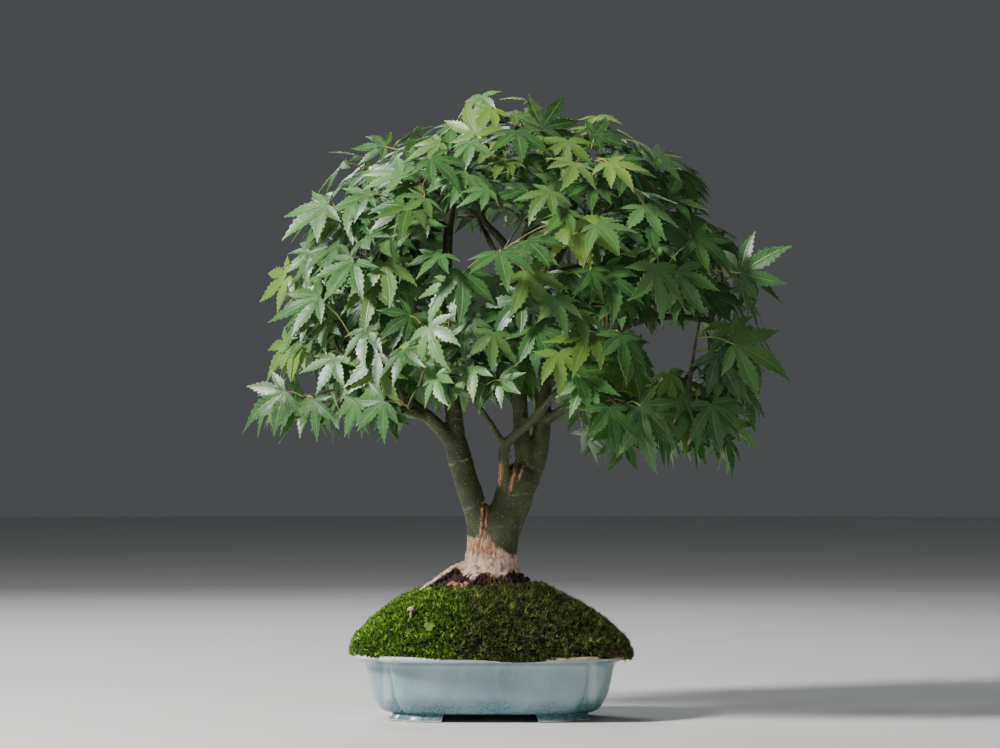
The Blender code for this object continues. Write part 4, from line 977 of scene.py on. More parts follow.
def add_stems(body, points, quads, rng):
    """Moss stems: tufts of short closed spikes that stand on the skin, evenly by its area."""
    a, b, c, d = (points[quads[:, k]] for k in range(4))
    normal = np.cross(c - a, d - b)
    area = np.linalg.norm(normal, axis=1)
    normal = normal / (area[:, None] + 1e-9)
    normal[normal[:, 2] < 0] *= -1
    chosen = rng.choice(len(quads), size=MOSS_TUFTS, p=area / area.sum())
    s, t = rng.random((2, MOSS_TUFTS, 1))
    root = (a[chosen] * (1 - s) + b[chosen] * s) * (1 - t) + (d[chosen] * (1 - s) + c[chosen] * s) * t
    olive = np.array([olive_and_shade_share(*p) for p in root])
    clumps = np.array([lumps(*p, 6.5) for p in root])
    tufts = np.clip(rng.normal(0.46, 0.26, MOSS_TUFTS) + 0.34 * clumps, 0, 1)
    total = MOSS_TUFTS * MOSS_BLADES

    def each(values):
        return np.repeat(values, MOSS_BLADES, axis=0)

    dark = each(olive)[:, None]
    root = each(root + normal[chosen] * rng.uniform(-0.3, 0.9, (MOSS_TUFTS, 1)))
    root += rng.normal(0, 0.36, (total, 3))
    way = each(normal[chosen]) + rng.normal(0, 1, (total, 3)) * (0.50 + 0.30 * dark)
    way /= np.linalg.norm(way, axis=1)[:, None]
    reach = rng.uniform(0.5, 1.0, (total, 1)) * (2.1 + 1.3 * dark)
    width = 0.54 - 0.20 * dark
    side = np.cross(way, rng.normal(0, 1, (total, 3)))
    side /= np.linalg.norm(side, axis=1)[:, None] + 1e-9
    other = np.cross(way, side)
    base = root - way * 0.5
    corners = [base + width * (math.cos(k) * side + math.sin(k) * other) for k in (0.0, 2.094, 4.189)]
    tip = root + way * reach + np.array((0, 0, 0.2)) * reach
    spikes = np.stack(corners + [tip], axis=1).reshape(-1, 3)
    pattern = np.array([(0, 2, 1), (0, 1, 3), (1, 2, 3), (2, 0, 3)])
    faces = (np.arange(total)[:, None, None] * 4 + pattern[None]).reshape(-1, 3)
    tint = np.clip(each(tufts) + rng.normal(0, 0.16, total), 0, 1)
    straw = (rng.random(total) < 0.008 + 0.05 * dark[:, 0]).astype(float)
    height = np.tile([0.0, 0.0, 0.0, 1.0], total)
    look = np.stack([np.repeat(tint, 4), height, np.repeat(dark[:, 0], 4)], axis=1)
    kind = np.stack([np.repeat(straw, 4), np.zeros(total * 4), np.zeros(total * 4)], axis=1)
    body.add(spikes, faces, moss_look=look, moss_kind=kind)


def make_moss():
    front = math.atan2(-MOSS_HALF_Y, MOSS_SPLIT_X)
    back = math.atan2(MOSS_HALF_Y, MOSS_SPLIT_X)
    mat = moss_material("living_moss")
    cushions = (
        ("moss_cushion_left", "moss_bright", "moss_left", back, front + 2 * math.pi),
        ("moss_cushion_right", "moss_dark", "moss_right", front, back),
    )
    for number, (name, slot, node, start, end) in enumerate(cushions):
        points, faces, skin = cushion_body(cushion_grid(start, end, *CUSHION_GRID), CUSHION_DEPTH)
        body = Body("moss_look", "moss_kind")
        body.add(points, faces, moss_look=(0.1, 0.0, 0.5), moss_kind=(0.0, 1.0, 0.0))
        add_stems(body, points, skin, np.random.default_rng(MOSS_SEED + number))
        set_piece(body.build(name, [mat], sharp=80), slot, node)


def make_mushroom():
    low, high = node_box("mushroom")
    x, y = (low.x + high.x) / 2, (low.y + high.y) / 2
    height = high.z - low.z
    radius = (high.x - low.x) / 2
    profile = ((-0.5, 0.32), (0.0, 0.30), (0.3, 0.26), (0.52, 0.30), (0.56, 0.55), (0.55, 0.86), (0.60, 0.99),
               (0.70, 0.96), (0.82, 0.78), (0.93, 0.46), (0.99, 0.18))
    rings = []
    for share, across in profile:
        ring = []
        for angle in full_turn(28):
            scallop = 1 + (0.05 * math.cos(7 * angle) if 0.54 < share < 0.85 else 0)
            reach = radius * across * scallop
            ring.append((x + reach * math.cos(angle), y + reach * math.sin(angle), low.z + height * share))
        rings.append(ring)
    cap = loft_object("little_mushroom", rings,
                      [plain_material("mushroom_flesh", (0.34, 0.23, 0.13), (0.62, 0.50, 0.36), 500.0, 0.6)])
    set_piece(cap, "mushroom", "mushroom")


def make_clover():
    """A stalk with three heart-shaped leaflets that cup upwards and face the front."""
    low, high = node_box("clover_sprig")
    foot = Vector(((low.x + high.x) / 2, (low.y + high.y) / 2 + 1.0, low.z - 2.5))
    top = Vector((foot.x, foot.y - 1.6, high.z - 1.2))
    body = Body()
    route = smooth_route([foot, (foot + top) / 2 + Vector((0.3, 0.6, 0)), top], 1.0)
    body.add_tube(route, radii_along(len(route), 0.36, 0.28), 8)
    face = Vector((0.05, -0.72, 0.69)).normalized()
    across = Vector((1, 0, 0))
    up = face.cross(across) * -1
    for turn in (90, 210, 330):
        angle = math.radians(turn)
        way = across * math.cos(angle) + up * math.sin(angle)
        side = across * -math.sin(angle) + up * math.cos(angle)
        rings = []
        steps = 22
        for shift in (0.0, 0.35):
            ring = []
            for i in range(steps):
                around = 2 * math.pi * i / steps
                notch = 0.75 * math.exp(-((around if around < math.pi else 2 * math.pi - around) / 0.42) ** 2)
                reach = 2.1 + 2.3 * math.cos(around) - notch
                wide = 2.25 * math.sin(around)
                ring.append(tuple(top + way * reach + side * wide + face * (0.10 * wide * wide + shift)))
            rings.append(ring)
        body.add_rings(rings)
    sprig = outward(body.build("clover_weed", [
        plain_material("clover_green", (0.050, 0.115, 0.006), (0.145, 0.245, 0.016), 260.0, 0.68)], sharp=50))
    set_piece(sprig, "clover", "clover_sprig")


# ---------------------------------------------------------------- trunk

# First and last radius, and route of each root.
ROOTS = (
    (4.4, 1.2, ((-9, -3, 108), (-22, -6, 104), (-33, -8, 98), (-44, -10, 91), (-51, -11, 86))),
    (7.0, 3.6, ((-6, -2, 99), (-16, -6, 96.5), (-26, -8, 92.5), (-36, -10, 88), (-42, -10, 84))),
    (5.2, 2.0, ((10, 0, 103), (19, -2, 98), (27, -4, 93), (34, -5, 86))),
    (5.2, 2.0, ((-4, 8, 103), (-14, 14, 96), (-24, 18, 89), (-32, 22, 82))),
    (5.2, 2.0, ((8, 8, 103), (13, 14, 96), (20, 20, 89), (26, 25, 82))),
    (5.2, 2.0, ((-4, -8, 102), (-11, -14, 95), (-18, -19, 88), (-24, -24, 81))),
    (5.2, 2.0, ((8, -8, 102), (13, -13, 95), (18, -18, 88), (24, -22, 81))),
)
# Sections of the flared base: height, middle x, half width and half depth.
FLARE_SECTIONS = (
    (82.0, -5.0, 30.0, 18.5), (90.0, -3.5, 25.5, 17.0), (97.0, -1.0, 21.5, 15.5),
    (104.0, 0.0, 19.3, 14.4), (112.0, 1.0, 17.8, 13.4), (122.0, 1.6, 16.8, 12.4), (131.0, 1.8, 15.5, 11.0),
)
RIBS_END = 124
SKIN_VOXEL = 0.00095
SKIN_SOFTENING = (0.6, 7)
FRONT_HALF_Y = 8
STEM_FOOT = ((14.0, 2.5, 120), (17.0, 3, 130), (19.6, 4, 140), (22.0, 4.5, 149))
RING_SCARS = (
    # Middle of the ring, the radius it wraps, its rise to the right, half its width, and its strength.
    ((-20, 3, 179), 11.0, 0.34, 0.60, 0.95), ((-25, 2, 184), 6.0, -1.1, 0.45, 0.5),
    ((21, 1, 156), 14.0, 0.0, 0.45, 0.55), ((-12, 1, 146), 10.0, 0.1, 0.5, 0.45),
    ((22, 6, 205), 7.0, 0.1, 0.4, 0.4), ((36, 10, 208), 8.0, -0.1, 0.4, 0.4),
    ((-26, 6, 208), 8.5, 0.1, 0.4, 0.4), ((18, 6, 262), 6.5, 0.0, 0.4, 0.4),
    ((-36, 7, 258), 7.0, 0.1, 0.4, 0.4), ((37, 13, 252), 7.0, 0.0, 0.4, 0.4),
    ((9, 0, 133), 14.0, -0.05, 0.35, 0.3), ((26, 4, 176), 12.0, -0.4, 0.4, 0.5),
)
CORK_STRIPS = (
    # Ends of each corky ridge on the front as (x, z), and half of its width.
    ((-6.4, 126), (-4.4, 151), 1.1), ((-3.9, 125), (-1.6, 150), 1.0), ((6.6, 163), (7.6, 178), 1.7),
    ((13.6, 157), (18.6, 179), 1.25), ((20.0, 166), (23.5, 176), 0.9), ((14.5, 184), (16.0, 190), 0.8),
)
PEAT_LINE = (
    # Where the bare base ends and dark root fibre begins on the front: x and height.
    (-60, 106), (-23, 106), (-18, 99.5), (-11, 95.5), (-3, 101.5), (4, 97.5), (10, 99.5), (17, 102.5),
    (25, 99), (60, 99),
)
ROOT_TOP = ((-60, 80), (-51, 87.4), (-44, 92.6), (-33, 100.4), (-22, 107.5), (60, 112))
CREAM_TOP = ((-60, 126), (-1, 126), (5, 120), (16, 113), (60, 112))


def line_at(points, x):
    """Height at x of a line through (x, z) points."""
    for (x0, z0), (x1, z1) in zip(points, points[1:]):
        if x <= x1:
            return z0 + (z1 - z0) * (x - x0) / (x1 - x0)
    return points[-1][1]


def wood_solid():
    """Both trunks, branches, flare and roots as overlapping tubes, still to be skinned as one."""
    body = Body()
    for name, start, end, points in BRANCHES:
        route = smooth_route(points, 3.0)
        radii = radii_along(len(route), start, end)
        radii = [
            r * (1 + 0.05 * lumps(p.x, p.y, p.z, 22.0, 2)) + 0.4 * math.exp(-((i - 2) / 2.2) ** 2)
            for i, (p, r) in enumerate(zip(route, radii))
        ]
        first, thick = route[0], radii[0]
        behind = (first - route[1]).normalized() * thick
        if name == "right_stem":
            route = [Vector(spot) for spot in STEM_FOOT] + route
            radii = [4.0, 5.0, 6.0, 7.1] + radii
        elif "trunk" not in name:
            route = [first + behind * 2.4, first + behind * 1.2] + route
            radii = [thick * 0.55, thick * 0.86] + radii
        ahead = (route[-1] - route[-2]).normalized()
        tip, last = route[-1], radii[-1]
        route += [tip + ahead * (last * 0.5), tip + ahead * (last * 0.85)]
        radii += [last * 0.82, last * 0.45]
        body.add_tube(route, radii, 20 if start > 6 else 14)
    for start, end, points in ROOTS:
        route = smooth_route(points, 2.5)
        body.add_tube(route, radii_along(len(route), start, end), 16)
    rings = []
    for z, middle, half_x, half_y in FLARE_SECTIONS:
        rings.append([
            (middle + half_x * rib_at(a, z) * math.cos(a), half_y * rib_at(a, z) * math.sin(a), z)
            for a in full_turn(60)
        ])
    body.add_rings(rings)
    return outward(body.build("living_wood", []))


def rib_at(angle, z):
    """How far the flared base stands out at an angle, as a share: ribs that fade upwards."""
    down = RIBS_END - z
    return 1 + 0.07 * math.cos(5 * angle + 0.6) * down / 40 + 0.02 * math.cos(11 * angle) * down / 40


def evaluated_mesh(obj):
    """The object's mesh with its modifiers applied."""
    bpy.context.view_layer.update()
    return bpy.data.meshes.new_from_object(obj.evaluated_get(bpy.context.evaluated_depsgraph_get()))


def scar_share(p):
    """How strongly a ring scar marks the bark at a point."""
    ring = 0.0
    for (x, y, z), wrap, tilt, half, share in RING_SCARS:
        away = math.hypot(p.x - x, p.y - y)
        if away < wrap and abs(p.z - z) < 14:
            off = abs(p.z - z - tilt * (p.x - x) - 0.9 * lumps(p.x, p.y, 4, 9.0)) / half
            broken = smoothstep(lumps(p.x, p.y, p.z, 3.0) + 0.25, 0.0, 0.2)
            ring = max(ring, share * broken * math.exp(-off * off) * smoothstep(wrap - away, 0, 1.5))
    return ring


def cork_share(p, normal, fine):
    """How far a corky ridge stands on the front at a point, and how deep the seam between two is."""
    if p.y >= FRONT_HALF_Y:
        return 0.0, 0.0
    ridge = groove = 0.0
    for (x0, z0), (x1, z1), half in CORK_STRIPS:
        t = (p.z - z0) / (z1 - z0)
        if -0.15 < t < 1.15:
            middle = x0 + (x1 - x0) * t + 0.5 * lumps(p.x, 0, p.z, 4.0)
            ends = smoothstep(t + 0.08 * fine, -0.12, 0.08) * smoothstep(0.08 * fine - t, -1.12, -0.92)
            wide = 0.5 + 0.5 * math.sin(math.pi * min(1.0, max(0.0, t))) ** 0.5 + 0.25 * fine
            side = abs(p.x - middle) / (half * wide)
            ridge = max(ridge, ends * math.exp(-side ** 3) * smoothstep(-normal.y, -0.35, 0.1))
    if 125 < p.z < 154:
        middle = -5.1 + (p.z - 126) * 0.082
        groove = math.exp(-((p.x - middle) / 0.55) ** 2) * smoothstep(p.z, 128, 133)
    return ridge, groove


def bark_marks(p, normal, scale):
    """Displacement in millimetres and the painted shares at a point of the wood."""
    fine = lumps(p.x, p.y, p.z, 2.2)
    jag = 2.6 * lumps(p.x, p.y, 0, 5.0) + 2.2 * fine
    low = line_at(PEAT_LINE, p.x) if p.y < 6 else 99.0
    cream = smoothstep(p.z + jag, low - 0.8, low + 0.8)
    cream *= smoothstep(line_at(CREAM_TOP, p.x) + 0.8 * jag - p.z, -0.8, 1.4)
    # The left root's pale bark is drawn only where its surface faces up, a painted highlight on its top. Its
    # underside keeps the dark root-fibre colour, which there is also painted shade.
    root = smoothstep(-p.x, 19, 23) * smoothstep(normal.z + 0.3 * fine, 0.10, 0.35) * smoothstep(p.z, 86, 89)
    root *= smoothstep(p.z - line_at(ROOT_TOP, p.x) + fine, -2.6, -1.4) * smoothstep(-p.z, -113, -110)
    cream = max(cream, root)
    peat = smoothstep(low + 0.6 - p.z - jag, 0.0, 1.2) * (1 - root)
    tan = cream * smoothstep(p.z + 2 * jag, 107, 116) * smoothstep(7 - p.x + jag, 0, 6)
    tan *= smoothstep(6 - p.y, 0, 6)
    tan *= 0.85
    ring = scar_share(p)
    ridge, groove = cork_share(p, normal, fine)
    moss = smoothstep(lumps(p.x, p.y, p.z, 13.0), 0.22, 0.5)
    moss *= smoothstep(p.z, 120, 128) * smoothstep(-p.z, -175, -150)
    thin = smoothstep(p.z, 196.0, 255.0)
    lift = 0.16 * ring + 0.85 * ridge * (0.8 + fine) - 1.1 * groove
    lift += cream * (0.55 * lumps(p.x, p.y, p.z, 3.2) + 0.5 * lumps(p.x, p.y, p.z, 1.5) + 0.5)
    lift += peat * (1.5 * lumps(p.x * 1.6, p.y * 1.6, p.z * 0.5, 3.0) + 0.6 * lumps(p.x, p.y, p.z, 1.4) - 0.5)
    lift += 0.28 * lumps(p.x, p.y, p.z * 0.35, 5.0) * scale
    ridge = min(1.0, ridge * 1.6)
    look = cream * (1 - ridge), max(tan, ridge), thin
    return lift, look, (0.8 * ring, 0.5 * moss, max(peat, 0.85 * groove))


def make_trunk():
    wood = wood_solid()
    skin = wood.modifiers.new("skin", "REMESH")
    skin.mode = "VOXEL"
    skin.voxel_size = SKIN_VOXEL
    soft = wood.modifiers.new("soft", "SMOOTH")
    soft.factor, soft.iterations = SKIN_SOFTENING
    mesh = evaluated_mesh(wood)
    wood.modifiers.clear()
    wood.data = mesh
    count = len(mesh.vertices)
    co = np.empty(count * 3)
    normals = np.empty(count * 3)
    mesh.vertices.foreach_get("co", co)
    mesh.vertices.foreach_get("normal", normals)
    co = co.reshape(-1, 3)
    normals = normals.reshape(-1, 3)
    local = (co - np.array((POT_X, POT_Y, 0.0))) / MM
    look = np.zeros((count, 3))
    marks = np.zeros((count, 3))
    for i in range(count):
        p = Vector(local[i])
        lift, look[i], marks[i] = bark_marks(p, Vector(normals[i]), 1.0 if p.z < 200 else 0.6)
        co[i] += normals[i] * lift * MM
    mesh.vertices.foreach_set("co", co.ravel())
    for key, values in (("bark_look", look), ("bark_marks", marks)):
        mesh.attributes.new(key, "FLOAT_VECTOR", "POINT").data.foreach_set("vector", values.ravel())
    mesh.materials.clear()
    mesh.materials.append(bark_material())
    mesh.shade_smooth()
    mesh.update()
    set_piece(wood, "bark", "trunk")


# ---------------------------------------------------------------- foliage layout, as in the CAD part


def branch_routes():
    routes = []
    for _, start, end, points in BRANCHES:
        route = smooth_route(points, BRANCH_SPACING)
        routes.append((route, radii_along(len(route), start, end)))
    return routes


def crown_reach(z):
    """(left, right) reach of the leaves at a height."""
    for (z0, l0, r0), (z1, l1, r1) in zip(CROWN, CROWN[1:]):
        if z <= z1:
            t = max(0.0, (z - z0) / (z1 - z0))
            return l0 + (l1 - l0) * t, r0 + (r1 - r0) * t
    return CROWN[-1][1:]


def crown_depth(x, z):
    """Half of the crown's depth at a place of its front view."""
    left, right = crown_reach(z)
    half = (right - left) / 2
    off = min(1.0, abs(x - (left + right) / 2) / half)
    return CROWN_DEPTH * half * math.sqrt(1 - off * off)


def shoot_tips():
    """The tips of the leafy shoots, on tiers round the crown."""
    draws = random.Random(SEED)
    tips = []
    for z, count, first, past in TIERS:
        left, right = crown_reach(z)
        for i in range(count):
            azimuth = math.radians(first + 360 * i / count + draws.uniform(-TIER_WOBBLE, TIER_WOBBLE))
            height = z + draws.uniform(-TIER_WOBBLE, TIER_WOBBLE)
            half = (right - left) / 2 - past
            x = (left + right) / 2 + half * math.cos(azimuth)
            y = half * CROWN_DEPTH * math.sin(azimuth)
            tips.append(Vector((x, y, height)))
    return tips


def twig_route(start, tip):
    """A twig that leaves its branch, arches up a little and levels out at its tip."""
    span = tip - start
    lift = Vector((0, 0, span.length * TWIG_LIFT))
    middle = start + span * 0.5 + lift
    return [
        start * (1 - t) ** 2 + middle * (2 * t * (1 - t)) + tip * t * t
        for t in (i / TWIG_STEPS for i in range(TWIG_STEPS + 1))
    ]


def bar(start, end, half):
    """The eight corners and six faces of a thin bar."""
    along = (end - start).normalized()
    side = along.cross(UP)
    side = side.normalized() if side.length > 1e-4 else Vector((1, 0, 0))
    top = side.cross(along).normalized()
    corners = []
    for spot in (start, end):
        for a, b in ((1, 1), (1, -1), (-1, -1), (-1, 1)):
            corners.append(spot + side * (a * half) + top * (b * half))
    faces = [(0, 1, 2, 3), (7, 6, 5, 4)]
    faces += [(i, i + 4, (i + 1) % 4 + 4, (i + 1) % 4) for i in range(4)]
    return corners, faces


def shape_of(parts):
    """One search tree over several small shapes, given as (corners, faces)."""
    corners = []
    faces = []
    for points, polygons in parts:
        base = len(corners)
        corners += points
        faces += [tuple(base + i for i in polygon) for polygon in polygons]
    return BVHTree.FromPolygons(corners, faces)


def route_shape(route, radii):
    """A search tree over the bars of a route."""
    return shape_of(
        bar(a, b, max(r, s)) for a, b, r, s in zip(route, route[1:], radii, radii[1:])
    )


def choose_anchor(tip, routes, wood):
    """The place on a branch that a shoot grows from: near, not above the tip, and with a clear way."""
    places = []
    for route, radii in routes:
        for i, (spot, radius) in enumerate(zip(route, radii)):
            if radius > THICKEST_ANCHOR or spot.z < LOWEST_ANCHOR:
                continue
            along = (route[min(i + 1, len(route) - 1)] - route[max(i - 1, 0)]).normalized()
            rise = max(0.0, spot.z - tip.z + 4)
            outside = max(0.0, Vector((spot.x, spot.y)).length - Vector((tip.x, tip.y)).length + 8)
            places.append(((tip - spot).length + 2.5 * rise + 3 * outside, spot, radius, along))
    places.sort(key=lambda item: item[0])
    for _, spot, radius, along in places:
        for away in ANCHOR_DISTANCES:
            aim = (twig_route(spot, tip)[1] - spot).normalized()
            slope = max(0.45, math.sqrt(max(0.0, 1 - aim.dot(along) ** 2)))
            start = spot + aim * (radius / slope + away)
            if (tip - start).length < SHORTEST_TWIG:
                break
            route = twig_route(start, tip)
            shape = route_shape(route, [TWIG_RADIUS + LEAF_CLEARANCE] * len(route))
            if not any(shape.overlap(other) for other in wood):
                return route, shape, spot
    return None


class Leaf:
    """A leaf blade: where its stalk ends, the middle lobe's direction and length, and its upper face."""

    def __init__(self, base, along, face, length, root, layer=0):
        self.base = base
        self.face = face.normalized()
        self.along = (along - self.face * along.dot(self.face)).normalized()
        self.across = self.along.cross(self.face).normalized()
        self.length = length
        self.root = root
        self.layer = layer

    def point(self, angle, share, droop=0.0):
        turn = math.radians(angle)
        reach = self.length * share
        flat = self.along * (math.cos(turn) * reach) + self.across * (math.sin(turn) * reach)
        return self.base + flat - self.face * (self.length * droop)

    def outline(self):
        """Blade outline from the left of the stalk round to its right: tips and notches in turn."""
        half = STALK_WIDTH / 2
        points = [self.base - self.across * half]
        for i, (angle, share, droop) in enumerate(LOBE_TIPS):
            points.append(self.point(angle, share, droop))
            if i < len(NOTCHES):
                points.append(self.point(*NOTCHES[i]))
        points.append(self.base + self.across * half)
        return points

    def solid(self, thickness):
        """Corners and faces of the blade as a thin plate with drooping lobes, open at its stalk."""
        top = self.outline()
        shift = self.face * thickness
        corners = top + [p - shift for p in top]
        count = len(top)
        core = (0, 2, 4, 6, 8, 10)
        lobes = ((0, 1, 2), (2, 3, 4), (4, 5, 6), (6, 7, 8), (8, 9, 10))
        faces = [core[::-1]] + [lobe[::-1] for lobe in lobes]
        faces += [tuple(count + i for i in face) for face in (core,) + lobes]
        for i in range(count - 1):
            faces.append((i, i + 1, i + 1 + count, i + count))
        return corners, faces

    def shapes(self, thickness):
        """The blade and its stalk, fattened for the clearance, as a search tree."""
        grown = Leaf(self.base + self.face * (thickness - LEAF_THICKNESS) / 2, self.along, self.face,
                     self.length * 1.03, self.root)
        away = (self.base - self.root).normalized()
        stalk = bar(self.root + away * 4.2, self.base, STALK_WIDTH / 2 + LEAF_CLEARANCE)
        return shape_of([grown.solid(thickness), stalk])


def in_gap(spot):
    return any(left < spot.x < right and low < spot.z < high for left, right, low, high in GAPS)


def keeps_clear(leaf):
    """True if the leaf stays out of the open sight lines and above the crown's underside."""
    for point in leaf.outline() + [leaf.point(0, 0.5), leaf.point(43, 0.5), leaf.point(-43, 0.5)]:
        if point.z < line_at(UNDERSIDE, max(point.x, UNDERSIDE[0][0])) or in_gap(point):
            return False
        left, right, near, far, low, high = CLEARING
        if left < point.x < right and near < point.y < far and low < point.z < high:
            return False
    return True


def front_leaf(row, twigs):
    """A leaf of FRONT_LEAVES on the twig that comes nearest to it."""
    x, z, heading, length, tip_up, turn = row
    base = Vector((x, -crown_depth(x, z) * FRONT_DEPTH_SHARE, z))
    tip_up, turn, heading = math.radians(tip_up), math.radians(turn), math.radians(heading)
    face = Vector((math.sin(turn) * math.cos(tip_up), -math.cos(turn) * math.cos(tip_up), math.sin(tip_up)))
    along = Vector((math.cos(heading), 0.0, math.sin(heading)))
    along.y = -(along.x * face.x + along.z * face.z) / face.y
    best = None
    for number, (route, *_) in enumerate(twigs):
        for at in FRONT_LEAF_PLACES:
            root = route_at(route, at)
            cost = (root - base).length + 0.5 * max(0.0, root.y - base.y)
            if best is None or cost < best[0]:
                best = (cost, number, root)
    cost, number, root = best
    if cost > FRONT_LEAF_REACH:
        return None
    return number, Leaf(base, along, face, length, root)


def route_at(route, share):
    """The point at a share of a route."""
    spot = share * (len(route) - 1)
    i = min(int(spot), len(route) - 2)
    return route[i].lerp(route[i + 1], spot - i)


def leaf_attitude(spot, draws):
    """The way a leaf faces and the way its middle lobe hangs, at a place in the crown.

    Leaves face out of the dome and, on the front, partly to the front left where their light comes from.
    """
    out = Vector(((spot.x - 14) / 190, spot.y / 155, 0))
    front = max(0.0, min(1.0, (50 - spot.y) / 90))
    out += Vector((-0.12, -0.55, 0)) * front
    out.normalize()
    high = max(0.0, min(1.0, (spot.z - 215) / 205))
    rise = math.radians(22 + 34 * high + draws.uniform(-20, 20))
    sway = math.radians(draws.uniform(-28, 28))
    c, s = math.cos(sway), math.sin(sway)
    out = Vector((out.x * c - out.y * s, out.x * s + out.y * c, 0))
    face = out * math.cos(rise) + Vector((0, 0, math.sin(rise)))
    spread = 45 + 50 * max(0.0, high - 0.55) / 0.45
    turn = math.radians(draws.uniform(-spread, spread))
    side = out.cross(UP)
    aside = Vector(((spot.x - 14) / 190, spot.y / 155, 0))
    hang = Vector((0, 0, -1)) * math.cos(turn) + side * math.sin(turn) + aside * 0.7
    return face, hang


def grown_leaf(twig, at, side, draws):
    """A leaf that a twig bears at one of its pairs, or at its tip where side is 0."""
    route = twig[0]
    root = route_at(route, at)
    forward = (route[-1] - route[-3]).normalized()
    flat_forward = Vector((forward.x, forward.y, 0)).normalized()
    sideways = UP.cross(flat_forward) * side
    reach = draws.uniform(*STALK_LENGTH)
    stalk = (flat_forward * (0.55 if side else 1.0) + sideways * 0.85
             + Vector((0, 0, draws.uniform(-0.15, 0.5)))).normalized()
    face, hang = leaf_attitude(root, draws)
    return Leaf(root + stalk * reach, hang + stalk * 0.45, face, draws.uniform(*LEAF_LENGTH), root)


class Crown:
    """All twigs and leaves placed so far, each clear of the wood and of every other leaf."""

    def __init__(self, routes):
        self.wood = [route_shape(route, [r + LEAF_CLEARANCE for r in radii]) for route, radii in routes]
        self.twigs = []
        for tip in shoot_tips():
            twig = choose_anchor(tip, routes, self.wood)
            if twig:
                self.twigs.append(twig)
                self.wood.append(twig[1])
        self.leaves = [[] for _ in self.twigs]
        self.placed = []

    def try_leaf(self, number, leaf):
        shape = leaf.shapes(LEAF_THICKNESS + 2 * LEAF_CLEARANCE)
        near = [other for spot, other in self.placed if (spot - leaf.base).length < NEIGHBOUR_REACH]
        if not keeps_clear(leaf) or any(shape.overlap(other) for other in near):
            return False
        if any(shape.overlap(other) for other in self.wood):
            return False
        self.placed.append((leaf.base, shape))
        self.leaves[number].append(leaf)
        return True

    def grow_main_leaves(self):
        for row in FRONT_LEAVES:
            found = front_leaf(row, self.twigs)
            if found:
                self.try_leaf(*found)
        draws = random.Random(SEED + 1)
        for number, twig in enumerate(self.twigs):
            spots = [(1.0, 0)] + [(at, side) for at in reversed(PAIRS) for side in (-1, 1)]
            for at, side in spots:
                for _ in range(LEAF_TRIES):
                    if self.try_leaf(number, grown_leaf(twig, at, side, draws)):
                        break
        leafy = [i for i in range(len(self.twigs)) if len(self.leaves[i]) >= FEWEST_LEAVES]
        self.twigs = [self.twigs[i] for i in leafy]
        self.leaves = [self.leaves[i] for i in leafy]


# ---------------------------------------------------------------- foliage, finer than the CAD part's


class Wood:
    """Points along the wood that fine twigs may grow from, each with its shoot's number."""

    def __init__(self, twigs):
        self.points = []
        self.owners = []
        for number, (route, *_) in enumerate(twigs):
            self.add(number, [route_at(route, t) for t in np.linspace(0.15, 1.0, 12)])

    def add(self, number, route):
        self.points += [tuple(p) for p in route]
        self.owners += [number] * len(route)

    def nearest(self, spot):
        """The nearest place that a twiglet to the spot could grow from, and its shoot."""
        points = np.array(self.points)
        away = points - np.array(tuple(spot))
        cost = np.linalg.norm(away, axis=1) + 0.8 * np.maximum(0.0, away[:, 2])
        best = int(np.argmin(cost))
        return Vector(self.points[best]), self.owners[best], float(cost[best])


def fill_targets(draws):
    """Places all over the crown's dome, layer by layer from the outside in, for leaves to fill it."""
    targets = []
    for layer, (inset, spacing, longest) in enumerate(FILL_LAYERS):
        here = []
        z = FILL_HEIGHTS[0]
        while z < FILL_HEIGHTS[1]:
            left, right = crown_reach(z)
            half = (right - left) / 2 - inset
            if half > 8.0:
                around = max(3, round(2 * math.pi * half * 0.92 / spacing))
                start = draws.uniform(0, 2 * math.pi)
                for i in range(around):
                    azimuth = start + 2 * math.pi * (i + draws.uniform(-0.3, 0.3)) / around
                    x = (left + right) / 2 + half * math.cos(azimuth)
                    y = half * CROWN_DEPTH * math.sin(azimuth)
                    here.append((Vector((x, y, z + draws.uniform(-0.4, 0.4) * spacing)), longest, layer))
            z += spacing * 0.72
        draws.shuffle(here)
        targets += here
    return targets


def thinned(spot, draws):
    """True for most places in front of the stems, where the crown is thin and shows its wood."""
    if spot.y > 30:
        return False
    for left, right, low, high, share in THIN_ZONES:
        if left < spot.x < right and low < spot.z < high and draws.random() < share:
            return True
    return False


def fill_crown(crown):
    """Fine twigs and their leaves wherever the dome has room, each grown from the nearest wood."""
    draws = random.Random(SEED + 2)
    wood = Wood(crown.twigs)
    twiglets = [[] for _ in crown.twigs]
    for spot, longest, layer in fill_targets(draws):
        root, number, away = wood.nearest(spot)
        if away > FILL_REACH or in_gap(spot) or thinned(spot, draws):
            continue
        for _ in range(FILL_TRIES):
            base = spot + Vector([draws.uniform(-6, 6) for _ in range(3)])
            face, hang = leaf_attitude(base, draws)
            face = (face + Vector([draws.gauss(0, 0.22) for _ in range(3)])).normalized()
            way = (base - root).normalized()
            reach = draws.uniform(8.0, 18.0)
            route = None
            start = root
            if (base - root).length > reach + 8:
                end = base - (way + Vector((0, 0, draws.uniform(-0.1, 0.5)))).normalized() * reach
                lift = Vector((0, 0, 0.14 * (end - root).length))
                route = [root, (root + end) / 2 + lift, end]
                if in_gap(route[1]) or in_gap(end):
                    continue
                start = end
            leaf = Leaf(base, hang + way * 0.35, face, draws.uniform(0.68, 1.0) * longest, start, layer)
            if crown.try_leaf(number, leaf):
                if route:
                    twiglets[number].append(route)
                    wood.add(number, smooth_route(route, 5.0)[2:])
                break
    return twiglets


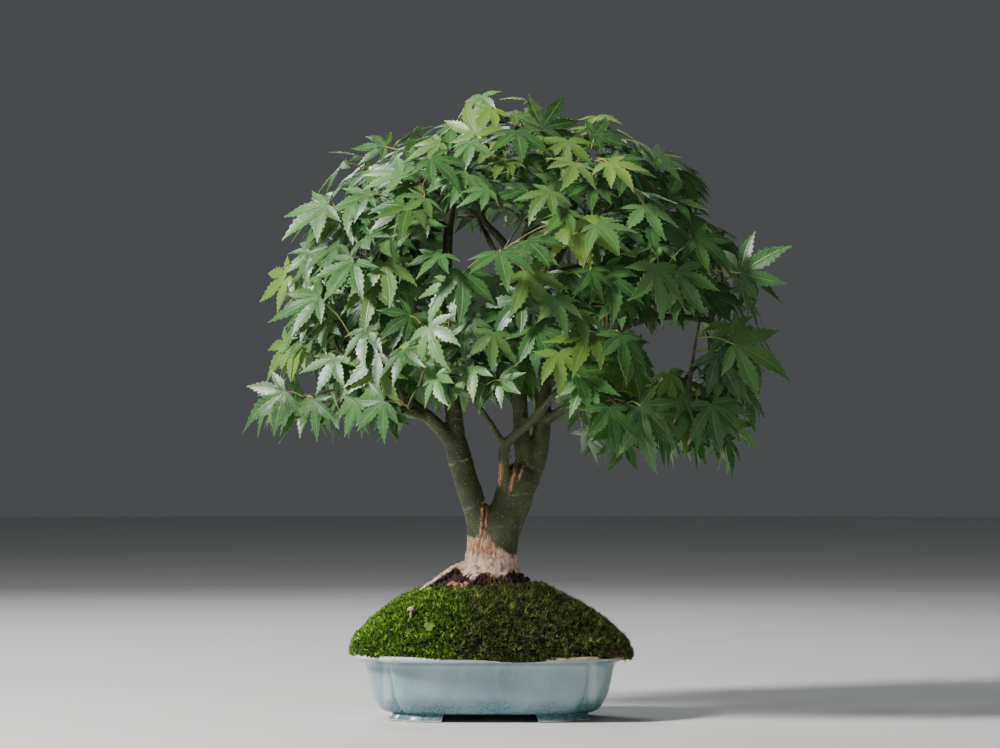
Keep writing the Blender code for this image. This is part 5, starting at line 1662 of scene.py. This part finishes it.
def lobe_half_width(t, notch_half, widest):
    """Half width of a lobe at a share of its free length: swelling, then drawn out to a long tip."""
    if t < 0.36:
        return notch_half + (widest - notch_half) * math.sin(t / 0.36 * math.pi / 2)
    rest = (t - 0.36) / 0.64
    return widest * (1 - rest) ** 1.12 * (1 + 0.25 * rest * (1 - rest)) + 0.004


def make_blade(draws):
    """One kind of blade with its middle lobe 1 long: points, triangles, and each point's own spot.

    Lobes meet along rays half way between their midribs, out to the notches, and run free from there
    with forward-pointing teeth. A spot is (share along its lobe, share out from its midrib, underside).
    """
    lobes = []
    for angle, share in ((-92, 0.60), (-44, 0.88), (0, 1.0), (44, 0.88), (92, 0.60)):
        lobes.append((
            math.radians(angle + draws.uniform(-5, 5)), share * draws.uniform(0.92, 1.06),
            draws.uniform(-0.16, 0.16), draws.uniform(0.06, 0.30), draws.uniform(0.18, 0.42),
        ))
    rays = [lobes[0][0] - math.radians(42)]
    rays += [(a[0] + b[0]) / 2 for a, b in zip(lobes, lobes[1:])]
    rays += [lobes[-1][0] + math.radians(42)]
    depth = [0.10, 0.23, 0.28, 0.28, 0.23, 0.10]
    core = 3
    points = [(0.0, 0.0, 0.0)]
    spots = [(0.0, 0.0)]
    triangles = []

    def keep(angle, reach, z, along, out):
        points.append((math.sin(angle) * reach, math.cos(angle) * reach, z))
        spots.append((along, out))
        return len(points) - 1

    ray_points = [
        [0] + [
            keep(ray, deep * j / core, -0.05 * (deep * j / core) ** 2 + 0.012 * j / core, 0.3 * j / core, 1.0)
            for j in range(1, core + 1)
        ]
        for ray, deep in zip(rays, depth)
    ]

    def quad(a, b, c, d):
        for triangle in ((a, b, c), (a, c, d)):
            if len(set(triangle)) == 3:
                triangles.append(triangle)

    for number, (angle, length, bend, droop, keel) in enumerate(lobes):
        sides = (
            (ray_points[number], rays[number], depth[number], -1),
            (ray_points[number + 1], rays[number + 1], depth[number + 1], 1),
        )
        start = min(0.26 * length, 0.8 * min(depth[number], depth[number + 1]) + 0.02)
        rib = [0] + [
            keep(angle, start * j / core, -0.05 * (start * j / core) ** 2, 0.3 * j / core, 0.0)
            for j in range(1, core + 1)
        ]
        stations = 2 * BLADE_TEETH + 1
        free = []
        for i in range(1, stations + 1):
            t = i / stations
            reach = start + (length - start) * t
            turn = angle + bend * t * t
            free.append((t, reach, turn, keep(turn, reach, -droop * reach * reach, 0.3 + 0.7 * t, 0.0)))
        for ray, ray_angle, deep, side in sides:
            between, out_to = (angle + ray_angle) / 2, (start + deep) / 2
            middles = [0] + [
                keep(between, out_to * j / core, 0.004 * j / core, 0.3 * j / core, 0.5)
                for j in range(1, core + 1)
            ]
            ordered = []
            for inner, outer in ((rib, middles), (middles, ray)):
                for j in range(core):
                    ordered.append((inner[j], inner[j + 1], outer[j + 1], outer[j]))
            notch_half = abs(math.sin(ray_angle - angle)) * deep
            notch_along = math.cos(ray_angle - angle) * deep
            last = (rib[-1], middles[-1], ray[-1])
            for i, (t, reach, turn, midrib) in enumerate(free):
                wide = lobe_half_width(t, notch_half, 0.150 * length)
                ahead = notch_along + (length - notch_along) * t
                tooth = 0.0
                if i < stations - 1:
                    tooth = 0.16 if i % 2 else -0.14
                    ahead += (0.30 if i % 2 else -0.10) * (length - notch_along) / stations
                rim_wide = wide * (1 + tooth)
                way = (math.sin(turn), math.cos(turn))
                out = (math.cos(turn) * side, -math.sin(turn) * side)
                edge = []
                halfway = 0.5, wide * 0.52, (reach + ahead) / 2
                for share, width, forward in (halfway, (1.0, rim_wide, ahead)):
                    x = way[0] * forward + out[0] * width
                    y = way[1] * forward + out[1] * width
                    z = -droop * forward * forward + keel * width * (1 - 0.4 * share)
                    points.append((x, y, z))
                    spots.append((0.3 + 0.7 * t, share))
                    edge.append(len(points) - 1)
                ordered.append((last[0], midrib, edge[0], last[1]))
                ordered.append((last[1], edge[0], edge[1], last[2]))
                last = (midrib, edge[0], edge[1])
            for a, b, c, d in ordered:
                if side > 0:
                    quad(a, b, c, d)
                else:
                    quad(d, c, b, a)
    return np.array(points), np.array(triangles), np.array(spots)


def thickened(points, triangles, spots, thickness):
    """The blade closed with an underside and a rim."""
    count = len(points)
    edges = {}
    for a, b, c in triangles:
        for edge in ((a, b), (b, c), (c, a)):
            edges[edge] = True
    rim = [(a, b) for a, b in edges if (b, a) not in edges]
    low = points.copy()
    low[:, 2] -= thickness
    faces = np.concatenate([triangles, triangles[:, ::-1] + count])
    sides = []
    for a, b in rim:
        sides.append((b, a, a + count))
        sides.append((b, a + count, b + count))
    spot = np.column_stack([spots, np.zeros(count)])
    under = np.column_stack([spots, np.ones(count)])
    faces = np.concatenate([faces, np.array(sides)])
    return np.concatenate([points, low]), faces, np.concatenate([spot, under])


def blade_kinds():
    draws = random.Random(BLADE_SEED)
    kinds = []
    for _ in range(BLADE_KINDS):
        points, triangles, spots = make_blade(draws)
        kinds.append(thickened(points, triangles, spots, BLADE_THICKNESS / 32.0))
    return kinds


def leaf_look(leaf, draws):
    """Tint, young share and dry share of a leaf, by where it grows. The tint holds painted shade inside the
    crown.
    """
    x, z = leaf.base.x, leaf.base.z
    outer = math.hypot((x - 12) / 190, leaf.base.y / 150)
    # Painted shade: leaves are lighter towards the crown's outside and top and darker in each inner layer,
    # with a random tint on top.
    tint = 0.26 + 0.36 * smoothstep(outer, 0.3, 1.0) + 0.2 * smoothstep(z, 240, 400)
    tint += draws.uniform(-0.34, 0.34)
    tint -= 0.08 * max(0, leaf.layer)
    young = 0.9 * smoothstep(-x, 118, 150) * smoothstep(z, 225, 280) * draws.uniform(0.3, 1.0)
    young = max(young, 0.8 * smoothstep(z, 385, 412) * smoothstep(draws.random(), 0.35, 0.9))
    young = max(young, 0.55 * smoothstep(draws.random(), 0.8, 1.0))
    dry = 1.0 if draws.random() < 0.03 else 0.0
    return min(1.0, max(0.0, tint)), young, dry


def add_blade(body, leaf, kinds, draws):
    points, triangles, spots = kinds[draws.randrange(len(kinds))]
    axes_of = np.array([tuple(leaf.across), tuple(leaf.along), tuple(leaf.face)])
    size = leaf.length * draws.uniform(0.98, 1.06)
    flip = np.array((draws.choice((-1.0, 1.0)), 1.0, 1.0))
    local = points * flip * size
    world = local @ axes_of + np.array(tuple(leaf.base))
    faces = triangles if flip[0] > 0 else triangles[:, ::-1]
    body.add(world, faces, 0, leaf_look=leaf_look(leaf, draws), leaf_spot=spots)


def add_stalk(body, leaf):
    span = leaf.base - leaf.root
    middle = leaf.root + span * 0.5 + Vector((0, 0, 0.10 * span.length))
    end = leaf.base + leaf.along * 0.8 - leaf.face * 0.35
    route = smooth_route([leaf.root, middle, end], span.length / 5)
    radii = [0.62 - 0.16 * math.sin(math.pi * i / (len(route) - 1)) for i in range(len(route))]
    body.add_tube(route, radii, 6, slot=1)


def make_shoots():
    crown = Crown(branch_routes())
    crown.grow_main_leaves()
    side_twigs = fill_crown(crown)
    kinds = blade_kinds()
    materials = [leaf_material(), stalk_material(), twig_material()]
    draws = random.Random(SEED + 3)
    total = 0
    for number, (twig, leaves, extra) in enumerate(zip(crown.twigs, crown.leaves, side_twigs), start=1):
        body = Body("leaf_look", "leaf_spot")
        route, _, anchor = twig
        wood = smooth_route([anchor] + route, 4.0)
        body.add_tube(wood, radii_along(len(wood), TWIG_RADIUS * 1.15, TWIG_TIP_RADIUS * 0.8), 9, slot=2)
        for path in extra:
            fine = smooth_route(path, 3.5)
            body.add_tube(fine, radii_along(len(fine), 0.85, 0.5), 7, slot=2)
        for leaf in leaves:
            add_stalk(body, leaf)
            add_blade(body, leaf, kinds, draws)
        total += len(leaves)
        piece = body.build(f"maple_shoot_{number:02d}", materials, sharp=65)
        set_piece(piece, "maple_leaf", f"leaf_shoot_{number:02d}")
    print("leaves", total, "shoots", len(crown.twigs))


# ---------------------------------------------------------------- the whole scene


make_camera()
make_stage()
make_pot()
make_drainage_meshes()
make_soil()
make_chips()
make_moss()
make_mushroom()
make_clover()
make_trunk()
make_shoots()
